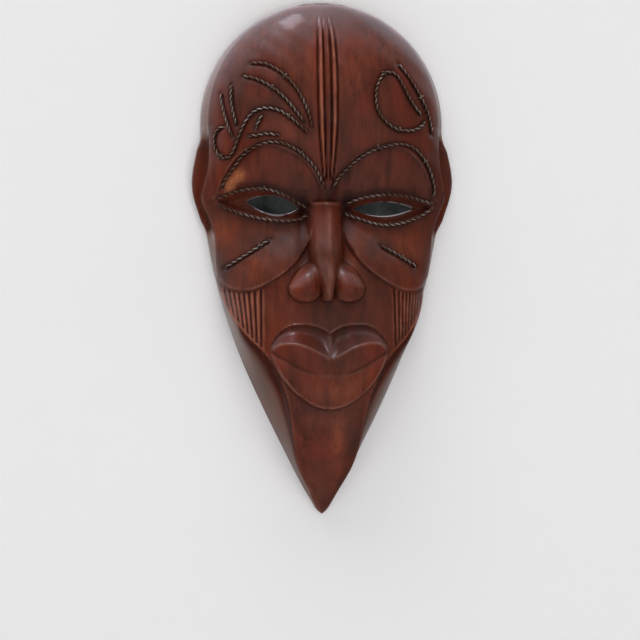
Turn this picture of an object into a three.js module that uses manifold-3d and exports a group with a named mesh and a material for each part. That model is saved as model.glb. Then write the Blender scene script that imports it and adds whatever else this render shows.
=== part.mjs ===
// A carved wooden wall mask, 295 mm tall, inlaid with twisted wire.
//
// The mask hangs on a wall: its flat back lies on the plane y = 0, the face looks along -Y and +Z is up.
// The origin is the nail's place on the wall, inside the top of the hanging ring.
// The carving is described by its height v above the tip of the beard and its distance x from the middle.

import * as THREE from "three";
import { ConvexGeometry } from "three/addons/geometries/ConvexGeometry.js";
import { mergeVertices } from "three/addons/utils/BufferGeometryUtils.js";
import Module from "manifold-3d";

const wasm = await Module();
wasm.setup();

// ---------------------------------------------------------------- driving dimensions, in mm

const HEIGHT = 295; // tip of the beard to the top of the crown
const HANG_V = 278; // height of the nail above the tip
const DOME_V = 225; // above this height the outline is a half ellipse
const DOME_HALF_WIDTH = 70;
const CROWN_V = 215; // above this height the depth falls off as a quarter ellipse
const CROWN_DEPTH = 40;
const RIM_WIDTH = 11; // flat back band between the outline and the hollow
const HOLLOW_MIDDLE = 148;
const HOLLOW_HALF_LENGTH = 104;
const WIRE_RADIUS = 1.0; // two twisted strands, as one round wire
const WIRE_SEAT = 1.65; // from the wood's surface to the wire's centreline
const STAPLE_RADIUS = 0.4;
const GAP = 0.3; // clearance between touching pieces

const WOOD = { color: 0x5c2f22, roughness: 0.42, metalness: 0 };
const BRONZE = { color: 0x6b4a33, roughness: 0.45, metalness: 0.9 };
const STEEL = { color: 0x9a9a98, roughness: 0.35, metalness: 1 };

// ---------------------------------------------------------------- small helpers

const clamp = (value, low, high) => Math.min(high, Math.max(low, value));
const mix = (a, b, share) => a + (b - a) * share;

function smoothstep(low, high, value) {
  const s = clamp((value - low) / (high - low), 0, 1);
  return s * s * (3 - 2 * s);
}

// A smooth curve through [position, value] pairs, level past both ends.
function profile(pairs) {
  const at = pairs.map((pair) => pair[0]);
  const value = pairs.map((pair) => pair[1]);
  const last = pairs.length - 1;
  const slope = value.map((_, i) => {
    const before = Math.max(0, i - 1);
    const after = Math.min(last, i + 1);
    return (value[after] - value[before]) / (at[after] - at[before]);
  });
  return (where) => {
    if (where <= at[0]) return value[0];
    if (where >= at[last]) return value[last];
    let i = 0;
    while (where > at[i + 1]) i++;
    const span = at[i + 1] - at[i];
    const t = (where - at[i]) / span;
    const rest = 1 - t;
    return (
      value[i] * rest * rest * (1 + 2 * t) +
      slope[i] * span * t * rest * rest +
      value[i + 1] * t * t * (3 - 2 * t) -
      slope[i + 1] * span * t * t * rest
    );
  };
}

const ellipseShare = (distance, reach) =>
  Math.sqrt(Math.max(0, 1 - (distance / reach) ** 2));

// ---------------------------------------------------------------- the blank: outline and depth

// Half-width of the flat back, without the ears.
const lowerOutline = profile([
  [0, 0],
  [2, 2.7],
  [8.7, 6.8],
  [18, 12.2],
  [36.5, 21.6],
  [64.4, 35.2],
  [92.2, 47.4],
  [120, 57],
  [148, 64],
  [175, 68],
  [200, 69.7],
  [DOME_V, DOME_HALF_WIDTH],
]);
const outline = (v) =>
  v > DOME_V
    ? DOME_HALF_WIDTH * ellipseShare(v - DOME_V, HEIGHT - DOME_V)
    : lowerOutline(v);

// Depth of the blank on the middle line, before nose and lips stand out of it.
const lowerDepth = profile([
  [0, 2],
  [3, 6.5],
  [9, 12],
  [20, 22.5],
  [35, 33],
  [50, 40.5],
  [65, 45.5],
  [80, 49],
  [96, 50],
  [112, 48],
  [128, 44],
  [150, 39],
  [170, 37],
  [190, 38.6],
  [CROWN_V, CROWN_DEPTH],
]);
const middleDepth = (v) =>
  v > CROWN_V
    ? CROWN_DEPTH * ellipseShare(v - CROWN_V, HEIGHT - CROWN_V)
    : lowerDepth(v);

// The jaw's flanks cut the rounded face back, so below the cheeks the face's own curve is wider than the outline.
const faceWidening = profile([
  [0, 1.05],
  [20, 1.15],
  [40, 1.2],
  [64, 1.24],
  [89, 1.3],
  [97, 1.27],
  [112, 1.12],
  [122, 1.04],
  [129, 1],
]);

// Where the face ends and the flank begins: the beard's edge, then the jaw line, then the temple.
const lowerShoulder = profile([
  [0, 0],
  [4, 3.1],
  [9, 5.6],
  [16, 8.6],
  [22, 11.8],
  [29, 15],
  [36, 17.1],
  [44, 18.5],
  [53, 19.8],
  [62, 21.3],
  [70, 22.9],
  [77, 25.3],
  [84, 28.4],
  [90.8, 32],
  [97, 37],
  [101, 41.3],
  [106, 46],
  [112, 50.6],
  [118, 54.4],
  [124, 57.2],
  [134, 60.2],
]);
const templeShare = profile([
  [134, 0.99],
  [150, 0.958],
  [162, 0.938],
  [215, 0.938],
]);

// The ridge in front of each ear, standing out of the temple's edge.
const tragus = profile([
  [156, 0],
  [163, 0.5],
  [172, 2.6],
  [179, 4.9],
  [183, 5.4],
  [188, 4.2],
  [196, 1.6],
  [202, 0.4],
  [207, 0],
]);
const shoulder = (v) => (v < 134 ? lowerShoulder(v) : templeShare(v) * outline(v) + tragus(v));

// How far each ear stands out of the outline.
const earBulge = profile([
  [152, 0],
  [162, 0.9],
  [172, 3],
  [182, 5.2],
  [190, 5.9],
  [198, 5],
  [207, 3],
  [215, 1.3],
  [223, 0],
]);

function blankDepth(x, v) {
  const half = outline(v) * faceWidening(v) + 1.25 * earBulge(v);
  return middleDepth(v) * Math.max(0, 1 - Math.abs(x / half) ** 3) ** 0.6;
}

// ---------------------------------------------------------------- carved features of the face

// The step where each cheek stands over the muzzle, as a height for each distance from the middle.
const cheekEdge = profile([
  [8, 168],
  [10.4, 158],
  [16.5, 147.8],
  [22.8, 141.2],
  [31, 135.5],
  [38, 131.8],
  [45, 129.8],
  [52, 130.3],
  [57, 133],
  [63, 140],
]);

function cheekRise(x, v) {
  const away = Math.abs(x);
  const steepness = Math.hypot(1, cheekEdge(away + 0.5) - cheekEdge(away - 0.5));
  const above = (v - cheekEdge(away)) / steepness;
  const fade = (1 - smoothstep(2, 28, v - cheekEdge(away))) * (1 - smoothstep(156, 174, v));
  return 3 * smoothstep(-0.7, 0.7, above) * fade * smoothstep(7, 12, away);
}

const EYE_V = 176.5;
const eyeValley = (x, v) =>
  -5.5 *
  Math.exp(-(((v - EYE_V) / 14) ** 2)) *
  mix(0.75, 1, smoothstep(4, 14, Math.abs(x))) *
  (1 - 0.75 * smoothstep(46, 64, Math.abs(x)));

// The brow's arc over each eye: the socket under it is carved deeper than the forehead.
const browArc = profile([
  [0, 184],
  [3, 186],
  [8, 196],
  [13, 202.2],
  [20, 207],
  [31, 211],
  [39, 210.8],
  [47, 207.6],
  [54, 200.6],
  [58.5, 192.5],
  [61.5, 184],
]);

function socketDrop(x, v) {
  const below = browArc(Math.abs(x)) - v;
  const inside = smoothstep(-1, 1.6, below) * smoothstep(160, 172, v);
  return -2.2 * inside * smoothstep(2, 8, Math.abs(x));
}

// Ribs down the middle of the forehead, drawing together towards the root of the nose.
const RIB_FOOT_V = 187;
const ribSpread = profile([
  [150, 1],
  [RIB_FOOT_V, 0.42],
  [200, 0.64],
  [225, 1],
  [262, 1],
  [290, 0.7],
]);
const ribSection = profile([
  [0, 0.1],
  [2, -1.2],
  [3.6, 1.1],
  [5.2, -1.1],
  [7.6, 0],
]);
const ribRise = (x, v) =>
  ribSection(Math.abs(x) / ribSpread(v)) *
  smoothstep(RIB_FOOT_V - 3, RIB_FOOT_V + 6, v) *
  (1 - smoothstep(268, 286, v));

// Height of the nose over the blank: a wedge from the root to the tip, with a rounded wing on each side.
const NOSE_X = -1.2;
const NOSE_ROOT_V = 179;
const NOSE_TIP_V = 124;
const noseHeight = profile([
  [NOSE_TIP_V - 1, 0],
  [NOSE_TIP_V + 1, 9],
  [NOSE_TIP_V + 5, 15.5],
  [NOSE_TIP_V + 10, 16.5],
  [150, 12.5],
  [NOSE_ROOT_V - 2, 7.2],
  [NOSE_ROOT_V, 6.5],
  [NOSE_ROOT_V + 1.2, 0],
]);
const noseHalfWidth = profile([
  [NOSE_TIP_V, 1.9],
  [130, 2.9],
  [137, 5.4],
  [150, 7.8],
  [NOSE_ROOT_V, 7.8],
]);
const NOSE_WING = { away: 12, v: 132, halfWidth: 9.6, halfHeight: 8.6, rise: 14, height: 11.6 };

// The larger of two heights, rounded over where they meet.
const smoothMax = (a, b, reach) => (a + b + Math.hypot(a - b, reach) - reach) / 2;

function noseRise(x, v) {
  const side = Math.abs(x - NOSE_X);
  const reach = noseHalfWidth(v) + 1.8;
  const power = mix(1.7, 2.1, smoothstep(140, 170, v));
  const bridge = noseHeight(v) * Math.max(0, 1 - (side / reach) ** power) ** 0.85;
  const above = v - NOSE_WING.v;
  const centre = NOSE_WING.away - 0.3 * clamp(above, 0, NOSE_WING.rise);
  const across = Math.abs(side - centre) / NOSE_WING.halfWidth;
  const along = above > 0 ? above / NOSE_WING.rise : -above / NOSE_WING.halfHeight;
  const body = Math.max(0, 1 - across ** 2.1 - along ** (above > 0 ? 1.6 : 2.2));
  return smoothMax(bridge, NOSE_WING.height * body ** 0.58, 1.6);
}

// The mouth, as four heights for each distance from the middle, from the philtrum down to the chin.
const LIP_REACH = 32.5;
const lipTop = profile([
  [0, 107],
  [3, 108.8],
  [8, 110.8],
  [15, 111.6],
  [22, 110.8],
  [27.5, 107.6],
  [LIP_REACH, 101],
]);
const lipRidge = profile([
  [0, 92.8],
  [6, 95.5],
  [13, 98.8],
  [21, 101],
  [28, 100.2],
  [LIP_REACH, 97],
]);
const mouthLine = profile([
  [0, 82.8],
  [8, 83.4],
  [15, 85.6],
  [22.5, 89.4],
  [LIP_REACH, 95],
]);
const lipBottom = profile([
  [0, 64.5],
  [6, 65.3],
  [12.5, 68.5],
  [19.5, 73.8],
  [25, 80],
  [29, 86.5],
  [LIP_REACH, 94],
]);

function lipRise(x, v) {
  const away = Math.abs(x);
  if (away >= LIP_REACH) return 0;
  const taper = Math.sqrt(1 - (away / LIP_REACH) ** 2.6);
  const top = lipTop(away);
  const ridge = lipRidge(away);
  const line = mouthLine(away);
  const bottom = lipBottom(away);
  if (v > top || v < bottom - 1) return 0;
  if (v > ridge) {
    const down = (top - v) / (top - ridge);
    return taper * (8.5 * down ** 2.2 - 3.2 * Math.sin(Math.PI * down) * (1 - down));
  }
  if (v > line) {
    const down = (ridge - v) / (ridge - line);
    return taper * mix(8.5, 5.6, down ** 1.3);
  }
  const down = clamp((line - v) / (line - bottom), 0, 1);
  const roll = 3.5 + 4.9 * Math.sin(Math.PI * Math.min(1, down * 0.6 + 0.1));
  return taper * roll * smoothstep(bottom - 1, bottom + 0.6, v);
}

// Depth of the carved front at (x, v), inside the shoulders.
function faceDepth(x, v) {
  const upper = eyeValley(x, v) + socketDrop(x, v) + ribRise(x, v);
  return blankDepth(x, v) + upper + cheekRise(x, v) + noseRise(x, v) + lipRise(x, v);
}

const place = (x, depth, v) => new THREE.Vector3(x, -depth, v - HANG_V);
const onFace = (x, v) => place(x, faceDepth(x, v), v);

function faceNormal(x, v) {
  const step = 1.5;
  const across = onFace(x + step, v).sub(onFace(x - step, v));
  const up = onFace(x, v + step).sub(onFace(x, v - step));
  return across.cross(up).normalize();
}

// ---------------------------------------------------------------- the ears and the flanks

// An ear's section, from the temple's edge over the scoop's floor and the ear's rim to the back.
const earAcross = profile([
  [0, 0],
  [0.12, -0.35],
  [0.3, -0.42],
  [0.5, 0.1],
  [0.72, 0.86],
  [0.86, 1],
  [1, 0.9],
]);
const earForward = profile([
  [0, 1],
  [0.12, 0.66],
  [0.3, 0.4],
  [0.5, 0.36],
  [0.72, 0.44],
  [0.84, 0.36],
  [0.93, 0.18],
  [1, 0],
]);
const EAR_FULL = 2.6; // bulge, in mm, from which the ear is scooped to its full depth

// How far the flank drops in at once beside the beard's edge.
const beardStep = profile([
  [8, 0],
  [22, 3],
  [40, 7],
  [60, 9.5],
  [78, 9],
  [88, 6],
  [98, 2],
  [108, 0],
]);
// How fully the jaw's flank swells on its way back.
const flankBelly = profile([
  [10, 1.25],
  [40, 1.35],
  [70, 1.8],
  [95, 2.6],
  [112, 2.4],
]);
const jawShare = profile([
  [114, 1],
  [132, 0],
]);

// The flank from the shoulder (share 0) back to the rim (share 1), as [half-width, depth].
function flank(v, share) {
  const half = outline(v);
  const ear = earBulge(v);
  const start = Math.min(shoulder(v), half + ear);
  const depth = mix(blankDepth(start, v), faceDepth(start, v), smoothstep(108, 122, v));
  const out = Math.sin((share * Math.PI) / 2);
  const width = half - start;
  const step = beardStep(v) * smoothstep(0, 0.14, share);
  const jaw = [start + width * out, (depth - step) * (1 - out ** flankBelly(v))];
  const turned = depth * (1 - share) * mix(1, Math.cos((share * Math.PI) / 2), 0.2);
  const scooped = smoothstep(0.1, EAR_FULL, ear);
  const side = [
    mix(start + width * out, start + (width + ear) * earAcross(share), scooped),
    mix(turned, depth * earForward(share), scooped),
  ];
  const straight = jawShare(v);
  return [mix(side[0], jaw[0], straight), mix(side[1], jaw[1], straight)];
}

// ---------------------------------------------------------------- the hollow behind the face

const hollowDepth = profile([
  [50, 18],
  [65, 25],
  [85, 30],
  [105, 31],
  [125, 28],
  [150, 23],
  [178, 19.5],
  [210, 22],
  [235, 21],
  [250, 16],
]);
const hollowEnd = (v) =>
  Math.max(0, 1 - Math.abs((v - HOLLOW_MIDDLE) / HOLLOW_HALF_LENGTH) ** 6) ** (1 / 3);
const hollowHalfWidth = (v) =>
  hollowEnd(v) > 0 ? (outline(v) - RIM_WIDTH) * hollowEnd(v) : outline(v) * 0.2;

function hollowAt(v, share) {
  const x = hollowHalfWidth(v) * share;
  const depth = hollowDepth(v) * hollowEnd(v) * Math.sqrt(1 - share ** 3);
  return [x, depth];
}

// ---------------------------------------------------------------- the body's skin, ring by ring

// Columns over the face: near ones for the ribs, nose and lips, then even steps out to the shoulder.
const NEAR_COLUMNS = [0, 2, 3.6, 5.2, 7.6, 10.8, 14.4, 18.4, 23];
const NEAR_REACH = 42; // narrower rings squeeze the near columns together
const FAR_COLUMNS = 5;
const FLANK_COLUMNS = 6;
const HOLLOW_COLUMNS = 5;
const END_ROWS = [0.7, 2, 4, 7, 11];
const ROW_STEP = 6.9;
const FINE_ROWS = { low: 62, high: 138, step: 3.4 };

function evenRows(low, high, step) {
  const count = Math.round((high - low) / step);
  return Array.from({ length: count }, (_, i) => mix(low, high, i / count));
}

function rowHeights() {
  const first = END_ROWS[END_ROWS.length - 1];
  return [
    ...END_ROWS.slice(0, -1),
    ...evenRows(first, FINE_ROWS.low, ROW_STEP),
    ...evenRows(FINE_ROWS.low, FINE_ROWS.high, FINE_ROWS.step),
    ...evenRows(FINE_ROWS.high, HEIGHT - first, ROW_STEP),
    ...[...END_ROWS].reverse().map((end) => HEIGHT - end),
  ];
}

function faceColumns(v) {
  const edge = Math.min(shoulder(v), outline(v) + earBulge(v));
  const squeeze = Math.min(1, edge / NEAR_REACH);
  const near = NEAR_COLUMNS.map((x) => x * squeeze * mix(1, ribSpread(v), x < 8 ? 1 : 0));
  const from = near[near.length - 1];
  for (let i = 1; i < FAR_COLUMNS; i++) near.push(mix(from, edge, i / FAR_COLUMNS));
  return near;
}

// One half of a closed level ring, from the middle of the face round to the middle of the hollow.
function halfRing(v) {
  const points = faceColumns(v).map((x) => (side) => [side * x, faceDepth(side * x, v)]);
  for (let i = 0; i <= FLANK_COLUMNS; i++) {
    const [x, depth] = flank(v, i / FLANK_COLUMNS);
    points.push((side) => [side * x, depth]);
  }
  for (let i = HOLLOW_COLUMNS; i >= 0; i--) {
    const [x, depth] = hollowAt(v, Math.sin((i / HOLLOW_COLUMNS) * (Math.PI / 2)));
    points.push((side) => [side * x, depth]);
  }
  return points;
}

function ringAt(v) {
  const half = halfRing(v);
  const right = half.map((point) => point(1));
  const left = half.slice(1, -1).map((point) => point(-1));
  return [...right, ...left.reverse()].map(([x, depth]) => place(x, depth, v));
}

function bodySkin() {
  const rings = rowHeights().map(ringAt);
  const count = rings[0].length;
  const corners = [place(0, 0.5, 0), ...rings.flat(), place(0, 0.5, HEIGHT)];
  const top = corners.length - 1;
  const faces = [];
  const at = (ring, i) => 1 + ring * count + (i % count);
  for (let i = 0; i < count; i++) {
    faces.push(0, at(0, i + 1), at(0, i));
    faces.push(top, at(rings.length - 1, i), at(rings.length - 1, i + 1));
  }
  for (let ring = 0; ring + 1 < rings.length; ring++)
    for (let i = 0; i < count; i++) {
      faces.push(at(ring, i), at(ring, i + 1), at(ring + 1, i + 1));
      faces.push(at(ring, i), at(ring + 1, i + 1), at(ring + 1, i));
    }
  const geometry = new THREE.BufferGeometry().setFromPoints(corners);
  geometry.setIndex(faces);
  return geometry;
}

// ---------------------------------------------------------------- solids: to and from manifold

function solidOf(geometry) {
  const bare = geometry.clone();
  bare.deleteAttribute("normal");
  bare.deleteAttribute("uv");
  const merged = mergeVertices(bare, 1e-4);
  return new wasm.Manifold(
    new wasm.Mesh({
      numProp: 3,
      vertProperties: new Float32Array(merged.attributes.position.array),
      triVerts: new Uint32Array(merged.index.array),
    }),
  );
}

function geometryOf(solid) {
  const mesh = solid.getMesh();
  const geometry = new THREE.BufferGeometry();
  geometry.setAttribute("position", new THREE.BufferAttribute(mesh.vertProperties, 3));
  geometry.setIndex(new THREE.BufferAttribute(mesh.triVerts, 1));
  geometry.computeVertexNormals();
  return geometry;
}

// A closed tube along a smooth curve through the given points.
function tube(points, radius, sides, steps) {
  const section = new THREE.Shape(
    Array.from({ length: sides }, (_, i) => {
      const turn = (2 * Math.PI * i) / sides;
      return new THREE.Vector2(radius * Math.cos(turn), radius * Math.sin(turn));
    }),
  );
  const path = new THREE.CatmullRomCurve3(points, false, "centripetal");
  return new THREE.ExtrudeGeometry(section, { steps, extrudePath: path, curveSegments: sides });
}

// ---------------------------------------------------------------- the wires' routes, as [x, v] pairs

const WIRES = {
  brow_wire_left: [
    [-58.8, 186.5],
    [-57, 191.5],
    [-52.2, 198.3],
    [-46.2, 206.1],
    [-39, 210.8],
    [-30.9, 212.4],
    [-22.9, 210.8],
    [-15.7, 206.6],
    [-8.4, 199.5],
    [-4.7, 193],
    [-2.9, 188.2],
  ],
  brow_wire_right: [
    [2.9, 187.2],
    [4.6, 191.2],
    [7.3, 195],
    [12.5, 200.3],
    [21, 206.6],
    [29.6, 210],
    [38.5, 211.8],
    [47.4, 210.4],
    [54, 205],
    [58.6, 197.5],
    [61.2, 189.5],
    [61.8, 183],
  ],
  eye_wire_upper_left: [
    [-60.8, 181.6],
    [-52, 185],
    [-42, 187],
    [-33, 186.6],
    [-24, 183.4],
    [-15.5, 178.6],
    [-11.5, 176.6],
  ],
  eye_wire_lower_left: [
    [-60.2, 177.8],
    [-54, 175.2],
    [-48, 172.9],
    [-40, 170.6],
    [-33, 169.2],
    [-24, 168.4],
    [-16, 169.4],
    [-11.2, 171.8],
  ],
  eye_wire_upper_right: [
    [10.6, 178.4],
    [15, 180.5],
    [22, 182.5],
    [34, 184],
    [46.5, 183],
    [56, 180.6],
    [61.4, 179.2],
  ],
  eye_wire_lower_right: [
    [10.4, 173.2],
    [16.5, 170.3],
    [26.5, 167.2],
    [35.5, 166.4],
    [44.5, 168.2],
    [53, 171.4],
    [60, 175.6],
  ],
  cheek_wire_left: [
    [-57, 142],
    [-50, 146.6],
    [-41, 152.4],
    [-32, 158.2],
  ],
  cheek_wire_right: [
    [29.5, 155],
    [36, 151.6],
    [44, 147.2],
    [51.5, 143],
  ],
  scroll_wire: [
    [-57, 221.8],
    [-60.8, 219.8],
    [-62.4, 215],
    [-61.8, 209],
    [-58.6, 204.6],
    [-54.8, 204.2],
    [-52, 208],
    [-50, 213.5],
    [-47.6, 219.5],
    [-44.6, 225.4],
    [-40.5, 229.6],
    [-34.5, 231.2],
    [-27.4, 229.8],
    [-20, 225],
    [-11.5, 217.4],
  ],
  ray_wire_outer: [
    [-52.9, 215.6],
    [-54.6, 221],
    [-56.6, 228],
    [-58.2, 235],
    [-58.8, 241],
  ],
  ray_wire_inner: [
    [-50.2, 221.8],
    [-51.2, 226],
    [-52.4, 231],
    [-53.2, 237],
    [-53, 245],
  ],
  stem_wire: [
    [-36.6, 227.4],
    [-38.6, 223.4],
    [-40.4, 219.4],
  ],
  bar_wire: [
    [-44.6, 215.8],
    [-40, 216],
    [-34.4, 216.9],
    [-27.4, 216],
  ],
  leaf_wire_lower: [
    [-13.2, 222.8],
    [-17.6, 228.8],
    [-23, 235.6],
    [-31, 242.8],
    [-40, 247.8],
    [-47, 249.6],
  ],
  leaf_wire_upper: [
    [-9.2, 220.6],
    [-11.6, 230],
    [-17, 241],
    [-25, 250.4],
    [-34, 256],
    [-43, 257],
  ],
  loop_wire: [
    [56.6, 225.4],
    [51, 220.9],
    [45, 219.4],
    [38, 220.4],
    [32.6, 223.8],
    [28.8, 228.4],
    [26.8, 235],
    [27.6, 244],
    [32.6, 251.6],
    [38.6, 251],
    [43, 244.6],
    [46.6, 237.6],
    [51, 231.6],
    [54.2, 228.6],
  ],
  tail_wire: [
    [60.8, 218],
    [59.6, 225],
    [57.2, 232],
    [52.6, 240.6],
    [46.8, 249.6],
    [40.6, 257.4],
  ],
};

// Staples hold the wires between their ends: each sits across the named wire, at a share of its length.
const STAPLES = [
  ["brow_wire_left", 0.72],
  ["brow_wire_left", 0.32],
  ["brow_wire_right", 0.4],
  ["brow_wire_right", 0.76],
  ["eye_wire_upper_left", 0.5],
  ["eye_wire_lower_left", 0.55],
  ["eye_wire_upper_right", 0.47],
  ["eye_wire_lower_right", 0.5],
  ["cheek_wire_left", 0.78],
  ["cheek_wire_right", 0.55],
  ["scroll_wire", 0.24],
  ["scroll_wire", 0.84],
  ["loop_wire", 0.2],
  ["loop_wire", 0.62],
  ["leaf_wire_lower", 0.6],
  ["leaf_wire_upper", 0.6],
  ["tail_wire", 0.5],
];

const lifted = (x, v, height) => onFace(x, v).addScaledVector(faceNormal(x, v), height);

function routeOf(pairs) {
  return new THREE.CatmullRomCurve3(
    pairs.map(([x, v]) => new THREE.Vector3(x, v, 0)),
    false,
    "centripetal",
  );
}

// A wire's ends slant down into the wood, past the end of its run.
const END_SINK = 2.4;
const END_REACH = 1.5;

function sunkEnd(end, inner) {
  const outward = new THREE.Vector2(end.x - inner.x, end.y - inner.y).normalize();
  return lifted(end.x + outward.x * END_REACH, end.y + outward.y * END_REACH, -END_SINK);
}

function wirePath(pairs) {
  const route = routeOf(pairs);
  const count = Math.max(4, Math.round(route.getLength() / 3.2));
  const flat = route.getSpacedPoints(count);
  const run = flat.slice(1, -1).map((p) => lifted(p.x, p.y, WIRE_SEAT));
  const first = flat[0];
  const last = flat[count];
  return [
    sunkEnd(first, flat[1]),
    lifted(first.x, first.y, WIRE_SEAT * 0.75),
    ...run,
    lifted(last.x, last.y, WIRE_SEAT * 0.75),
    sunkEnd(last, flat[count - 1]),
  ];
}

const WIRE_SIDES = 5;
const wirePaths = new Map(
  Object.entries(WIRES).map(([name, pairs]) => [name, wirePath(pairs)]),
);

// The room a wire needs in the wood: a shallow bed where the wood rises to meet it, and a hole for each end.
function wireBeds(path) {
  const endHole = (end, next) => {
    const outward = end.clone().sub(next).normalize();
    const from = end.clone().addScaledVector(outward, -0.6);
    const to = end.clone().addScaledVector(outward, 0.5);
    return tube([from, to], WIRE_RADIUS + GAP, WIRE_SIDES, 1);
  };
  const last = path.length - 1;
  return [
    tube(path, WIRE_RADIUS + GAP, WIRE_SIDES, last),
    endHole(path[0], path[1]),
    endHole(path[last], path[last - 1]),
  ];
}

// A staple: a bent pin over the wire, with both legs in the wood.
const STAPLE_HALF_WIDTH = WIRE_RADIUS + STAPLE_RADIUS + GAP;
const STAPLE_LEG = 4;
const STAPLE_SLACK = 0.45; // clearance round a staple's legs, which bow a little
const STAPLE_CROWN = WIRE_SEAT + WIRE_RADIUS + STAPLE_RADIUS + GAP;

function staplePoints([wire, share], legSlack = 0) {
  const route = routeOf(WIRES[wire]);
  const centre = route.getPointAt(share);
  const along = route.getTangentAt(share);
  const across = new THREE.Vector2(-along.y, along.x);
  const at = (side, height) => {
    const away = side * STAPLE_HALF_WIDTH;
    const foot = onFace(centre.x + across.x * away, centre.y + across.y * away);
    return foot.addScaledVector(faceNormal(centre.x, centre.y), height);
  };
  return [
    at(-1, -STAPLE_LEG - legSlack),
    at(-1, STAPLE_CROWN - 1),
    at(-0.55, STAPLE_CROWN),
    at(0.55, STAPLE_CROWN),
    at(1, STAPLE_CROWN - 1),
    at(1, -STAPLE_LEG - legSlack),
  ];
}

function stapleHoles(staple) {
  const points = staplePoints(staple, 0.5);
  const legs = [points.slice(0, 2), points.slice(-2)];
  return legs.map((leg) => tube(leg, STAPLE_RADIUS + STAPLE_SLACK, 4, 1));
}

// ---------------------------------------------------------------- cuts in the body

// Each eye is slit right through: a lens between two arcs, its lower edge flared out towards the front.
const EYE_SLITS = [
  { x: -29.9, v: 178.2, halfLength: 15, halfHeight: 5, tilt: -0.13 },
  { x: 33.4, v: 176.2, halfLength: 18.4, halfHeight: 3.9, tilt: 0.01 },
];
const SLIT_SIDES = 8;
const SLIT_ENDS = [
  { depth: 60, droop: 1.3 },
  { depth: 4, droop: -0.45 },
];

function eyeSlit(slit) {
  const corners = SLIT_ENDS.flatMap(({ depth, droop }) =>
    Array.from({ length: SLIT_SIDES + 1 }, (_, i) => {
      const share = (2 * i) / SLIT_SIDES - 1;
      const x = slit.x + slit.halfLength * share;
      const level = slit.v + slit.tilt * slit.halfLength * share;
      const arch = slit.halfHeight * (1 - share ** 2);
      return [place(x, depth, level + arch), place(x, depth, level - arch * (1 + droop))];
    }).flat(),
  );
  return new ConvexGeometry(corners);
}

// Scored lines down the muzzle's sides, from the cheek's edge to the jaw line.
const SCORE_FIRST = 37.4;
const SCORE_CLOSING = 0.016; // the lines close up towards the edge
const SCORE_PITCH = { left: 3.55, right: 3 };
const SCORE_COUNT = { left: 7, right: 6 };
const SCORE_RADIUS = 1;

// Distance from the middle of a scored line: lines lean in towards the chin.
function scoreX(pitch, index, v) {
  const closing = 2 * SCORE_CLOSING;
  const out = (Math.sqrt(1 + 2 * closing * pitch * index) - 1) / closing;
  return 38 + (SCORE_FIRST + out - 38) * (1 - 0.0095 * clamp(130 - v, 0, 40));
}

function scoreCut(side, pitch, index) {
  const xAt = (v) => scoreX(pitch, index, v);
  const top = cheekEdge(xAt(130)) - 1.2;
  let bottom = 128;
  while (shoulder(bottom) > xAt(bottom) + 0.6 && bottom > 90) bottom -= 0.5;
  const steps = Math.max(2, Math.round((top - bottom) / 10));
  const points = [];
  for (let i = 0; i <= steps; i++) {
    const v = mix(top, bottom, i / steps);
    points.push(onFace(side * xAt(v), v));
  }
  return tube(points, SCORE_RADIUS, 4, steps);
}

// The hanger's niche, gouged into the flat back of the crown and open into the hollow below.
const NICHE = { halfWidth: 13, top: 285, bottom: 228, depth: 7, corner: 5 };

function nicheCut() {
  const { halfWidth: w, corner: r } = NICHE;
  const top = NICHE.top - HANG_V;
  const bottom = NICHE.bottom - HANG_V;
  const shape = new THREE.Shape();
  shape.moveTo(-w, bottom);
  shape.lineTo(w, bottom);
  shape.lineTo(w, top - r);
  shape.absarc(w - r, top - r, r, 0, Math.PI / 2, false);
  shape.absarc(-w + r, top - r, r, Math.PI / 2, Math.PI, false);
  const cutter = new THREE.ExtrudeGeometry(shape, {
    depth: NICHE.depth + 5,
    bevelEnabled: false,
    curveSegments: 4,
  });
  return cutter.rotateX(Math.PI / 2).translate(0, 5, 0);
}

// ---------------------------------------------------------------- the hanger

const PLATE = { halfWidth: 4.5, low: 247, high: 265, thickness: 1 };
const PIVOT = { v: 267.5, depth: 4.8 };
const RING_RADIUS = 1; // of the ring's wire
const BARREL = { inner: RING_RADIUS + GAP, outer: 1.9 };
const RING_LEAN = THREE.MathUtils.degToRad(4);
const SCREW = { v: 253.5, headRadius: 3, headHeight: 1.8, shankRadius: 1.5, length: 11 };

const place2 = (depth, v) => new THREE.Vector2(-depth, v - HANG_V);

// Sheet strap folded round the ring's bar: a flat plate with a closed barrel at its top.
function strapGeometry() {
  const back = NICHE.depth - GAP;
  const front = back - PLATE.thickness;
  const shape = new THREE.Shape([
    place2(back, PLATE.low),
    place2(front, PLATE.low),
    place2(front, PIVOT.v - BARREL.outer * 0.8),
  ]);
  const centre = place2(PIVOT.depth, PIVOT.v);
  shape.absarc(centre.x, centre.y, BARREL.outer, -0.9, Math.PI, false);
  shape.lineTo(-back, centre.y);
  const bore = new THREE.Path();
  bore.absarc(centre.x, centre.y, BARREL.inner, 0, 2 * Math.PI, true);
  shape.holes.push(bore);
  const strap = new THREE.ExtrudeGeometry(shape, {
    depth: 2 * PLATE.halfWidth,
    bevelEnabled: false,
    curveSegments: 10,
  });
  // The profile is drawn in (y, z): turn it so that the extrusion runs along X.
  strap.applyMatrix4(
    new THREE.Matrix4().makeBasis(
      new THREE.Vector3(0, 1, 0),
      new THREE.Vector3(0, 0, 1),
      new THREE.Vector3(1, 0, 0),
    ),
  );
  strap.translate(-PLATE.halfWidth, 0, 0);
  return strap;
}

// The screw's profile turned about its axis: a low round head and a plain shank.
function screwProfile(slack) {
  const r = SCREW.shankRadius + slack;
  return [
    new THREE.Vector2(0, -SCREW.length - slack),
    new THREE.Vector2(r * 0.4, -SCREW.length - slack),
    new THREE.Vector2(r, -SCREW.length + 2 - slack),
    new THREE.Vector2(r, 0),
  ];
}

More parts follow.
